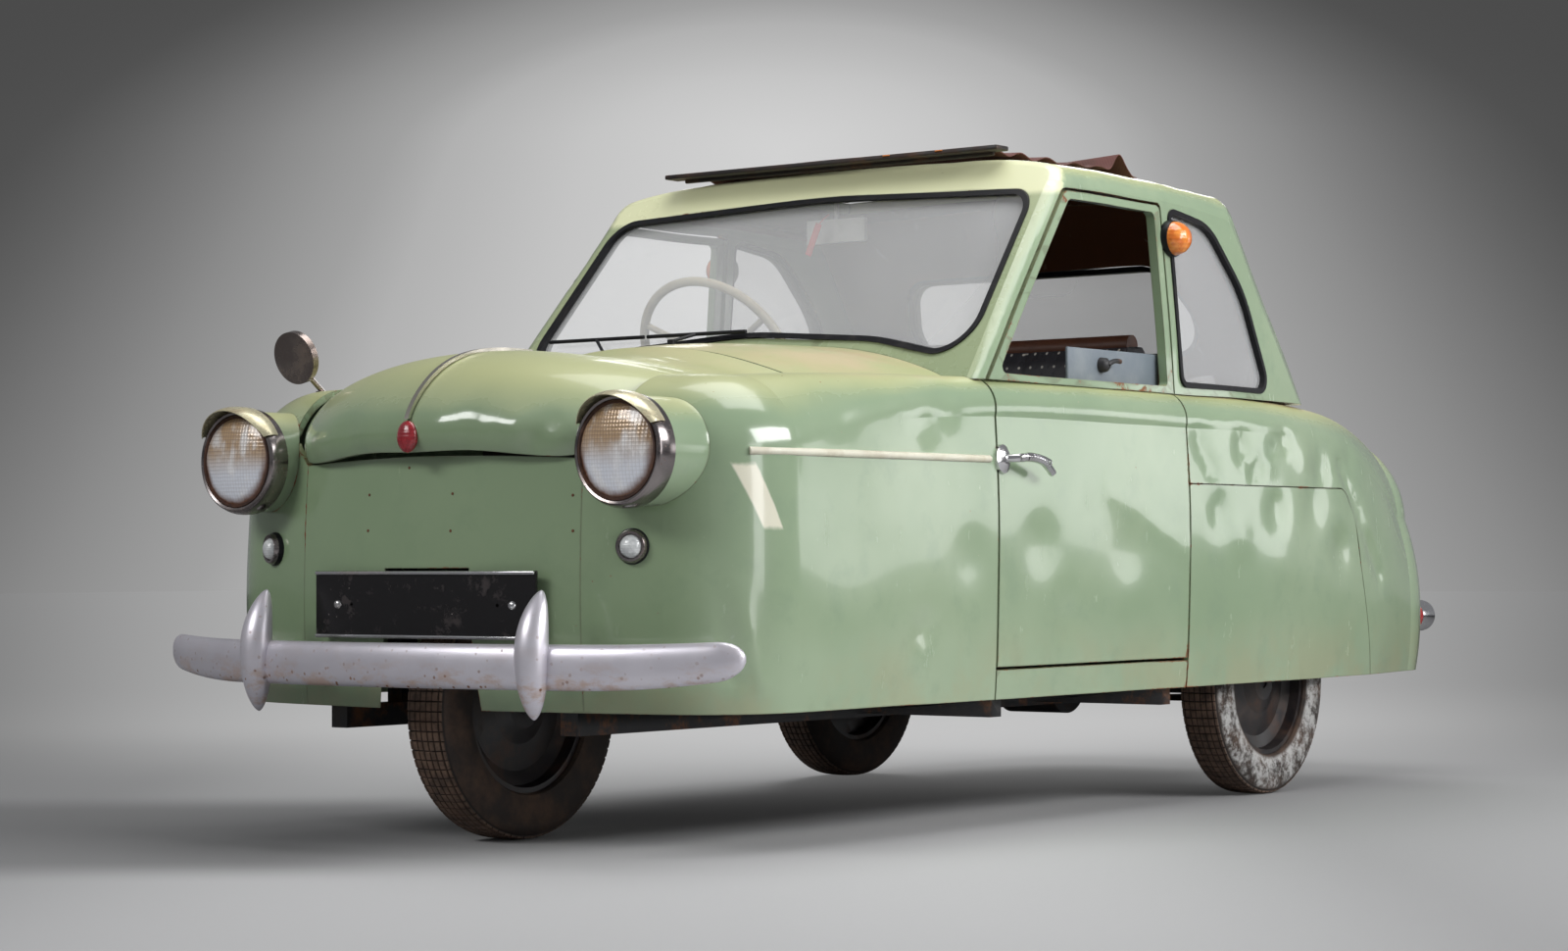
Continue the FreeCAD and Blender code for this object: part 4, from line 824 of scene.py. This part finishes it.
def dent(place, width, depth, way, end=None):
    """A dent at a place, or a crease from there to an end; a depth below zero is a swelling."""
    return place, end or place, width, depth, way


def flank_dents(*rows):
    """Dents in the left flank, in millimetres: y, z, width, depth, then x, then where a crease ends."""
    dents = []
    for y, z, width, depth, *more in rows:
        x, *end = more or [650]
        places = [tuple(value / 1000 for value in (x, *ends)) for ends in ((y, z), end or (y, z))]
        dents.append(dent(places[0], width / 1000, depth / 1000, (-1, 0, 0), places[1]))
    return dents


def across(dents, share=0.6):
    """The same kind of knocks on the right flank, shallower and a little further on."""
    return [((-a[0], a[1] + 0.05, a[2] - 0.02), (-b[0], b[1] + 0.05, b[2] - 0.02), width, depth * share,
             (-way[0], way[1], way[2])) for a, b, width, depth, way in dents]


WING_KNOCKS = flank_dents(
    (-795, 387, 30, 6), (-776, 768, 40, 5), (-1382, 669, 18, 6, 600, -1302, 315),
    (-1328, 535, 20, -4, 630, -1260, 297), (-1040, 560, 140, 2.5), (-640, 520, 60, 3),
    (-1050, 800, 50, 6, 630), (-860, 812, 40, -4, 625), (-700, 810, 40, 6, 625), (-1170, 745, 45, -3))
DOOR_KNOCKS = flank_dents(
    (-391, 545, 60, 4.5), (-60, 535, 70, 5), (-134, 653, 30, -2, 650, 156, 535), (-300, 400, 50, 3))
REAR_KNOCKS = flank_dents(
    (229, 761, 30, 5, 648, 281, 701), (409, 756, 35, 6), (516, 726, 30, -4), (605, 771, 30, 6),
    (700, 735, 35, -3), (786, 710, 40, 7), (952, 736, 40, 6), (890, 723, 24, 6, 625, 1094, 479),
    (1022, 580, 50, -4, 610), (460, 700, 22, 4, 650, 560, 760))
SKIRT_KNOCKS = flank_dents(
    (301, 618, 45, 5), (393, 560, 50, -3), (558, 621, 45, 6), (739, 633, 50, 5), (877, 535, 50, 6),
    (951, 669, 40, 5, 640))
LIP_KNOCKS = [dent((x / 1000, -1.449, z / 1000), width / 1000, depth / 1000, (0, 1, 0.2))
              for x, z, width, depth in (
                  (28, 742, 26, 8), (124, 750, 34, 9), (187, 743, 14, 6), (70, 765, 30, -4),
                  (225, 762, 30, -4), (264, 731, 26, 8), (298, 770, 30, 7), (-170, 752, 34, 6))]
TOP_KNOCKS = [dent((0.17, -1.2, 0.905), 0.08, 0.003, (0, 0, -1)),
              dent((-0.21, -1.05, 0.9), 0.09, 0.004, (0, 0, -1))]
NOSE_KNOCKS = [dent((0.22, -1.43, 0.6), 0.06, 0.003, (0, 1, 0)),
               dent((-0.08, -1.43, 0.63), 0.08, 0.003, (0, 1, 0))]
ROOF_KNOCKS = [dent((0.44, 0.6, 1.29), 0.05, 0.004, (0, 0, -1), (0.52, 0.3, 1.3)),
               dent((-0.4, -0.1, 1.34), 0.07, 0.004, (0, 0, -1), (-0.4, 0.3, 1.34))]
BOOT_KNOCKS = [dent((0.1, 1.42, 0.7), 0.07, 0.004, (0, -1, 0))]


def make_panels():
    beaten("nose_panel", NOSE_KNOCKS, 0.0004)
    beaten("front_wing_left", WING_KNOCKS, 0.0004, material=WING_PAINT)
    beaten("front_wing_right", across(WING_KNOCKS), 0.0004)
    beaten("scuttle_panel")
    beaten("roof_shell", ROOF_KNOCKS, 0.0006, material=ROOF_PAINT)
    beaten("sills")
    beaten("rear_skirts", SKIRT_KNOCKS + across(SKIRT_KNOCKS), 0.0005)
    beaten("rear_body", REAR_KNOCKS + across(REAR_KNOCKS), 0.0005)
    beaten("bonnet_panel", LIP_KNOCKS + TOP_KNOCKS, 0.0005)
    beaten("door_left", DOOR_KNOCKS, 0.0004)
    beaten("door_right", across(DOOR_KNOCKS), 0.0006)
    beaten("boot_lid", BOOT_KNOCKS, 0.0006)


# ------------------------ bumper and front trim
def make_bumper():
    """A bowed bar with rounded ends that turn up a little."""
    half, sweep, front, thick = 0.702, 0.15, -1.567, 0.017
    tip, cap = 0.045, 0.06           # a rounded end's length, in metres and as a share of the ball's turn
    bow = (half ** 2 + sweep ** 2) / (2 * sweep)
    piece = primitive("uv_sphere", segments=32, ring_count=100, radius=1)
    points = points_of(piece)
    polar = np.arccos(np.clip(points[:, 2], -1, 1)) / math.pi
    round_turn = np.arctan2(points[:, 1], points[:, 0])
    end = np.clip(np.minimum(polar, 1 - polar) / cap, 0, 1) * math.pi / 2
    swell = np.sin(end)
    middle = (half - tip) * (1 - 2 * (np.clip(polar, cap, 1 - cap) - cap) / (1 - 2 * cap))
    x = middle + np.where(polar < cap, 1, np.where(polar > 1 - cap, -1, 0)) * tip * np.cos(end)
    lift = np.clip((np.abs(x) - 0.42) / 0.28, 0, 1) ** 2
    cosine, sine = np.cos(round_turn), np.sin(round_turn)
    deep = thick * swell * np.sign(cosine) * np.abs(cosine) ** 0.85
    tall = (0.04 - 0.008 * lift) * swell * np.sign(sine) * np.abs(sine) ** 0.85
    y = front + bow - np.sqrt(bow ** 2 - x ** 2) + thick - deep
    z = 0.333 + 0.016 * lift + tall
    move_points(piece, np.stack([x, y, z], 1))
    weld(piece, 80)
    keep(piece, "bumper_bar_round", BUMPER_METAL, ["bumper_bar"])


def make_front_trim():
    """Rusty studs on the nose, the number plate's strips and bolts, and rings round the tail lamps."""
    ahead = (0, -1, 0)
    stud = mm(0, 1.2, 1.6, 1.1, 2.7, 0.6, 3.1, -1.5, 0, -2)
    for x, z in ((-153, 640), (62, 639), (323, 633), (-153, 574), (60, 572), (325, 570), (-49, 688)):
        place = touch("nose_panel", (x / 1000, -1.8, z / 1000), (0, 1, 0))
        keep(turned(stud, place, ahead, 18), "nose_stud_%d_%d" % (x + 1000, z), RUST_SPOT)
    strips = [rounded_block((0, -1.4485, z), (0.54, 0.005, 0.0065), 0.002) for z in (0.3805, 0.4965)]
    keep(joined(strips), "plate_strips", CHROME)
    bolts = [((x, -1.4465, 0.4385), ahead) for x in (-0.215, 0.215)]
    keep(turned_each(mm(0, 4.5, 5, 4, 7.5, 2, 8.5, -1, 0, -1), bolts, 20), "plate_bolts", CHROME)
    sleeve = mm(34.3, -60, 36.2, -60, 37, -50, 37.2, -6, 36.2, 1.5, 34, 3.2, 31.6, 2.2, 31.2, -1, 34.3, -4)
    bezels = [((side * 0.53, 1.503, 0.377), (0, 1, 0)) for side, _ in SIDES]
    keep(turned_each(sleeve, bezels), "tail_lamp_bezels", CHROME)


def make_overriders():
    """Two leaf-shaped horns that stand on the bumper, broad in the middle and pointed at both ends."""
    low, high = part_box("overriders")
    horns = []
    for side, _ in SIDES:
        horn = primitive("uv_sphere", segments=32, ring_count=40, radius=1)
        points = points_of(horn)
        share = points[:, 2]
        swell = np.clip(1 - np.abs(share) ** 2.1, 0, 1) ** 0.62
        ring = np.maximum(np.linalg.norm(points[:, :2], axis=1), 1e-6)
        x = side * 0.338 + 0.031 * swell * points[:, 0] / ring * (ring > 1e-5)
        forward = np.clip(-points[:, 1] / ring, -0.45, 1)
        y = -1.533 - 0.031 * swell * forward + 0.02 * np.clip(share, 0, 1) ** 2 + 0.006 * share ** 2
        z = (low[2] + high[2]) / 2 + (high[2] - low[2]) / 2 * share
        move_points(horn, np.stack([x, y, z], 1))
        weld(horn, 70)
        horns.append(horn)
    keep(joined(horns), "overrider_horns", BUMPER_METAL, ["overriders"])


def make_chassis():
    """The chassis with its front irons behind the bumper, where the nose hides them."""
    frame_piece = copy_of("chassis_frame", "chassis")
    edit(frame_piece)
    bpy.ops.mesh.remove_doubles(threshold=1e-5)
    bpy.ops.mesh.bisect(plane_co=(0, -1.372, 0), plane_no=(0, 1, 0), clear_inner=True, use_fill=True)
    leave()
    smooth(frame_piece, 30)
    irons = [rounded_block((side * 0.284, -1.478, 0.334), (0.024, 0.096, 0.012), 0.002) for side, _ in SIDES]
    keep(joined([frame_piece] + irons), "chassis_with_irons", BLACK_IRON, ["chassis_frame"])


def make_headlamps():
    """Stepped chrome rims round domed fluted glass, each under a peaked cap."""
    places = [((side * 0.469, -1.455, 0.708), (0, -1, 0)) for side, _ in SIDES]
    rim = mm(86.5, 0, 88.5, 6, 92.5, 7.5, 96, 5, 97.5, 1, 99.5, -4, 100.8, -10, 101.2, -20,
             100.5, -33, 86, -33)
    seal = mm(80, 3.5, 83, 7.5, 86.8, 7, 88, 3, 87, -4, 80, -4)
    glass = mm(0, 18.5, 20, 17.8, 40, 15.8, 58, 12.5, 72, 8.5, 83.5, 3.5, 83.5, -4, 0, -4)
    keep(turned_each(rim, places, 96), "lamp_rims", RIM_CHROME, ["headlamp_rims"])
    keep(turned_each(seal, places, 96), "lamp_seals", SEAL_BROWN)
    keep(turned_each(glass, places, 96), "lamp_domes", LAMP_GLASS, ["headlamp_lenses"])
    caps = joined([peaked_cap(centre) for centre, _ in places])
    keep(caps, "lamp_caps", LAMP_METAL, ["headlamp_visors"])


def peaked_cap(centre):
    """A pressed cap over the top of a lamp: its front edge juts out most in the middle."""
    cap = primitive("grid", x_subdivisions=48, y_subdivisions=10, size=2)
    points = points_of(cap)
    turn = points[:, 0] * math.radians(62)
    out = (points[:, 1] + 1) / 2
    reach = 0.012 + 0.03 * np.clip(np.cos(turn * 1.42), 0, 1) ** 0.8
    radius = 0.1025 + 0.004 * out - 0.012 * out ** 3
    x = centre[0] + radius * np.sin(turn)
    y = centre[1] + 0.016 - (reach + 0.016) * out
    z = centre[2] + radius * np.cos(turn)
    move_points(cap, np.stack([x, y, z], 1))
    weld(cap, 50)
    apply_modifier(cap, "SOLIDIFY", thickness=0.0014, offset=0)
    smooth(cap, 50)
    return cap


def make_side_lamps():
    """Small round lamps on the front corners: a rubber foot, a chrome ring and a domed lens."""
    places = []
    for side, hand in SIDES:
        seen_from = Vector((side * CAMERA_PLACE[0], *CAMERA_PLACE[1:]))
        place = touch("front_wing_" + hand, seen_from, Vector((side * 0.46, -1.406, 0.542)) - seen_from)
        axis = Vector((side * 0.34, -1, 0)).normalized()
        places.append((place - axis * 0.01, axis))
    foot = mm(0, -4, 31.5, -4, 32, 12, 30, 16.5, 0, 16.5)
    ring = mm(20.5, 12, 29.5, 12, 29.2, 20, 26.5, 24.5, 22.5, 24, 20.5, 20)
    dome = mm(0, 34.5, 8, 33.5, 15, 30, 19.5, 24, 21, 18, 0, 14)
    keep(turned_each(foot, places), "side_lamp_feet", RUBBER)
    keep(turned_each(ring, places), "side_lamp_rings", RIM_CHROME, ["side_lamps"])
    keep(turned_each(dome, places), "side_lamp_domes", CLEAR_LENS)


def make_amber_lamps():
    """A domed indicator lamp on a rubber foot, high on each side behind the door."""
    places = [((side * 0.598, 0.208, 1.19), (side, 0, 0)) for side, _ in SIDES]
    foot = mm(0, -16, 34, -16, 38.5, -8, 39.5, 4, 37.5, 10, 0, 10)
    dome = mm(0, 44, 10, 43, 20, 38.5, 29, 30, 34.5, 19, 36, 10, 0, 9)
    keep(turned_each(foot, places), "amber_lamp_feet", RUBBER)
    keep(turned_each(dome, places), "amber_lamp_domes", AMBER, ["indicator_lamps"])


def make_side_trim():
    """A half-round cream strip along each front wing."""
    strips = []
    for side, hand in SIDES:
        line = [touch("front_wing_" + hand, (side, y, 0.708), (-side, 0, 0)) for y in
                (-1.27, -1.255, -1.18, -1.08, -0.98, -0.88, -0.78, -0.68, -0.585, -0.571)]
        strips.append(drawn_rod(line, 0.0072, 8))
    keep(joined(strips), "wing_strips", CREAM, ["side_strips"])


def make_handles():
    """A round boss and a curved ribbed lever on each door."""
    boss = mm(0, 10, 8, 9.5, 14, 7.5, 19.5, 3.5, 23.5, 1, 24.5, -6, 0, -6)
    rib = mm(7, -2.2, 9, -1.2, 9.2, 0, 9, 1.2, 7, 2.2)
    height = 0.709
    for side, hand in SIDES:
        plate = turned(boss, (side * 0.6545, -0.528, height), (side, 0, 0.08), 40)
        for vertex in plate.data.vertices:
            vertex.co.z = height + (vertex.co.z - height) * 1.18
        neck = drawn_rod(path(side, 650, -524, 709, 672, -520, 710, 688, -505, 711), 0.0085, 10)
        lever = drawn_rod(path(side, 684, -516, 711, 692, -490, 713, 692, -450, 708, 686, -415, 694,
                               684, -400, 684), 0.0078, 12)
        ribs = [turned(rib, (side * 0.6915, -0.498 + 0.07 * share, 0.7125 - 0.01 * share ** 2),
                       (0, 1, -0.12 * share), 20) for share in (index / 8 for index in range(9))]
        keep(joined([plate, neck, lever] + ribs), "door_lever_" + hand, CHROME,
             ["door_handle_" + hand], "door_" + hand)


# ------------------------ tyres
CROWN_RADIUS = 0.2375             # faces farther out than this are cut into blocks


def make_tyre(node, body, centre, whitened):
    """A cross-ply tyre whose crown is cut into small blocks."""
    half = mm(160.5, 40, 164, 46, 174, 47.5, 190, 50.5, 192.5, 50, 206, 51.8, 208.5, 51, 222, 50, 233, 46,
              238.5, 41.5, 241, 34, 242, 20, 242.5, 7)
    profile = [(radius, -height) for radius, height in half] + half[::-1]
    piece = turned(profile, centre, (1, 0, 0), 84)
    mesh = piece.data
    edit(piece, "FACE")
    bpy.ops.mesh.select_all(action="DESELECT")
    leave()
    for face in mesh.polygons:
        away = face.center - Vector(centre)
        face.select = math.hypot(away.y, away.z) > CROWN_RADIUS
    only(piece)
    bpy.ops.object.mode_set(mode="EDIT")
    bpy.ops.mesh.inset(thickness=0.0019, depth=0.004, use_individual=True, use_even_offset=True)
    leave()
    tops = np.zeros(len(mesh.vertices))
    tops[[index for face in mesh.polygons if face.select for index in face.vertices]] = 1
    mesh.attributes.new("block", "FLOAT", "POINT").data.foreach_set("value", tops)
    smooth(piece, 30)
    rubber = tyre_look(node + "_rubber", centre, whitened)
    keep(piece, node + "_moulded", rubber, [node], body)


def make_tyres():
    make_tyre("front_tyre", "front_wheel", (0, -1.201, 0.246), False)
    make_tyre("rear_tyre_left", "rear_wheel_left", (0.555, 0.62, 0.246), True)
    make_tyre("rear_tyre_right", "rear_wheel_right", (-0.555, 0.62, 0.246), False)


# ------------------------ seats
def stuffed(node, name):
    """A pad swollen by cloth simulation from a slightly smaller body."""
    shrink, cap, frames = 0.008, 0.016, 20     # how far inside it starts, how far it may swell, how long
    pad = copy_of(node, name)
    edit(pad)
    bpy.ops.mesh.remove_doubles(threshold=1e-5)
    leave()
    apply_modifier(pad, "REMESH", mode="VOXEL", voxel_size=0.008)
    apply_modifier(pad, "SMOOTH", factor=0.5, iterations=6)
    apply_modifier(pad, "DISPLACE", strength=-shrink, mid_level=0)
    start = points_of(pad)
    only(pad)
    cloth = pad.modifiers.new("cloth", "CLOTH")
    cloth.settings.use_pressure = True
    cloth.settings.uniform_pressure_force = 4
    cloth.settings.effector_weights.gravity = 0
    cloth.settings.quality = 4
    cloth.point_cache.frame_start, cloth.point_cache.frame_end = 1, frames
    for moment in range(1, frames + 1):
        bpy.context.scene.frame_set(moment)
    bpy.ops.object.modifier_apply(modifier=cloth.name)
    moved = points_of(pad) - start
    far = np.linalg.norm(moved, axis=1, keepdims=True)
    move_points(pad, start + moved * np.minimum(1, cap / np.maximum(far, 1e-9)))
    bpy.context.scene.frame_set(1)
    crown_pleats(pad, node)
    smooth(pad, 60)
    keep(pad, name, QUILT, [node])


def crown_pleats(pad, node):
    """Sewn channels across the pad: shallow hollows every hand's width."""
    low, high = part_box(node)
    points = points_of(pad)
    inner = np.clip((points[:, 0] - low[0]) / 0.05, 0, 1) * np.clip((high[0] - points[:, 0]) / 0.05, 0, 1)
    channel = np.abs(np.sin(points[:, 0] * math.pi / 0.13))
    depth = 0.006 * np.clip(1 - channel / 0.3, 0, 1) ** 1.5 * inner
    centre = (np.array(low) + np.array(high)) / 2
    way = (points - centre) * (0, 1, 1)
    move_points(pad, points - depth[:, None] * unit(way))


def make_seats():
    """Three quilted pads, and a brown roll along the front seat back's top edge."""
    stuffed("front_seat_cushion", "front_cushion_pad")
    stuffed("front_seat_back", "front_back_pad")
    stuffed("rear_seat", "rear_seat_pad")
    _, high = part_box("front_seat_back")
    roll = drawn_rod([(x, high[1] - 0.045 - 0.008 * (x / 0.5) ** 2, high[2] - 0.02)
                      for x in (-0.5, -0.45, -0.2, 0.2, 0.45, 0.5)], 0.022, 10)
    keep(roll, "seat_top_roll", BROWN_VINYL)


def make_door_cards():
    """Inside each door: a trim card, an arm ledge and a latch."""
    latch = mm(0, 16, 10, 15, 16, 9, 18, 0, 0, 0)
    for side, hand in SIDES:
        door = "door_" + hand
        card = rounded_block((side * 0.6085, -0.165, 0.64), (0.006, 0.52, 0.28), 0.0025)
        ledge = rounded_block((side * 0.603, -0.13, 0.6), (0.018, 0.3, 0.022), 0.006)
        knob = turned(latch, (side * 0.606, -0.36, 0.7), (-side, 0, 0), 28)
        lever = drawn_rod(path(side, 594, -360, 700, 590, -330, 703, 592, -270, 696), 0.006)
        keep(card, "door_card_" + hand, DOOR_VINYL, body=door)
        keep(ledge, "door_ledge_" + hand, BROWN_VINYL, body=door)
        keep(joined([knob, lever]), "door_latch_" + hand, BLACK_IRON, body=door)


# ------------------------ folding roof
def make_roof_cloth():
    """The folding roof's cloth, with soft folds; the last one stands up highest at its left rear."""
    piece = primitive("grid", x_subdivisions=60, y_subdivisions=160, size=2)
    points = points_of(piece)
    across_share, along = points[:, 0], (points[:, 1] + 1) / 2
    x = across_share * 0.398
    left = np.clip((across_share + 0.15) / 1.15, 0, 1)
    y = -0.166 + 0.574 * along + 0.006 * np.sin(5 * x + 9 * along)
    folds = 0.0055 * np.sin(math.tau * (along * 5.5 + 0.25 * np.sin(3.1 * x))) * np.clip(along / 0.1, 0, 1)
    hump = np.exp(-((along - 0.86) / 0.055) ** 2) * (0.016 + 0.024 * left ** 2)
    second = np.exp(-((along - 0.66) / 0.05) ** 2) * 0.014 * (0.4 + 0.6 * np.sin(4 * x + 1) ** 2)
    rest = np.clip((1 - along) / 0.05, 0, 1)
    z = 1.3635 - 0.0125 * across_share ** 2 + (folds + 0.004) * rest + hump * rest + second
    move_points(piece, np.stack([x, y, z], 1))
    apply_modifier(piece, "SOLIDIFY", thickness=0.002, offset=0)
    smooth(piece, 70)
    keep(piece, "roof_cloth_folded", ROOF_CLOTH, ["sunroof_fabric"])


def make_roof_bar():
    """The folding roof's front bar: a thin pressed bar with a lip, and two orange clips."""
    low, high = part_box("sunroof_bar")
    middle = (low[1] + high[1]) / 2
    width = high[0] - low[0]
    plate = rounded_block((0, middle - 0.004, low[2] + 0.0115), (width, 0.046, 0.01), 0.003)
    lip = rounded_block((0, middle + 0.01, low[2] + 0.005), (width * 0.93, 0.01, 0.012), 0.003)
    keep(joined([plate, lip]), "roof_bar_pressed", ROOF_BAR, ["sunroof_bar"])
    clips = [rounded_block((x, middle - 0.022, low[2] + 0.0125), (0.022, 0.01, 0.007), 0.002)
             for x in (0.292, 0.16)]
    keep(joined(clips), "roof_clips", CLIP_ORANGE)


def make_cabin_details():
    """What shows through the glass: a sliding pane's sill on each door with its catch, and a hanging tag."""
    catch = mm(0, 20, 8, 19, 14, 13, 16, 0, 0, 0)
    for side, hand in SIDES:
        door = "door_" + hand
        sill = rounded_block((side * 0.585, -0.012, 0.905), (0.008, 0.355, 0.078), 0.0035)
        boss = turned(catch, (side * 0.589, -0.063, 0.912), (side, 0, 0), 28)
        grip = drawn_rod(path(side, 606, -63, 912, 610, -45, 924, 608, -20, 920), 0.005)
        keep(sill, "pane_sill_" + hand, DOOR_VINYL, body=door)
        keep(joined([boss, grip]), "pane_catch_" + hand, BLACK_IRON, body=door)
    tag = rounded_block((0, 0, 0), (0.016, 0.0025, 0.072), 0.001)
    tag.data.transform(Matrix.Translation((-0.034, -0.206, 1.196)) @ Matrix.Rotation(0.42, 4, "Y"))
    string = drawn_rod(path(1, -12, -180, 1250, -16, -196, 1240, -20, -206, 1226), 0.0012)
    keep(joined([tag, string]), "hanging_tag", TAG_RED)


# ------------------------ looks of the CAD nodes
def dress_the_rest():
    for material, nodes in (
            (GLASS, "windscreen_glass rear_glass"), (RUBBER, "window_rubbers wipers"),
            (TAIL_RED, "tail_lamps"), (PLATE, "number_plate rear_plate"), (GREY_PLASTIC, "interior_mirror"),
            (BLACK_IRON, "rear_axle rear_springs front_seat_base steering_fork steering_column"),
            (FLOOR_PAINT, "floor_pan"), (CAST_IRON, "engine_block"), (DASH_PAINT, "dashboard"),
            (MIRROR_METAL, "wing_mirror"), (TRIM_CHROME, "bonnet_strip"), (ENAMEL_RED, "front_emblem"),
            (IVORY, "steering_wheel"), (WHEEL_BLACK, "front_wheel rear_wheel_left rear_wheel_right")):
        for node in nodes.split():
            for slot in NODES[node].material_slots:
                slot.material = material


place_camera()
light_the_scene()
lay_floor()
dress_the_rest()
make_panels()
make_bumper()
make_front_trim()
make_overriders()
make_chassis()
make_headlamps()
make_side_lamps()
make_amber_lamps()
make_side_trim()
make_handles()
make_tyres()
make_seats()
make_door_cards()
make_roof_cloth()
make_roof_bar()
make_cabin_details()
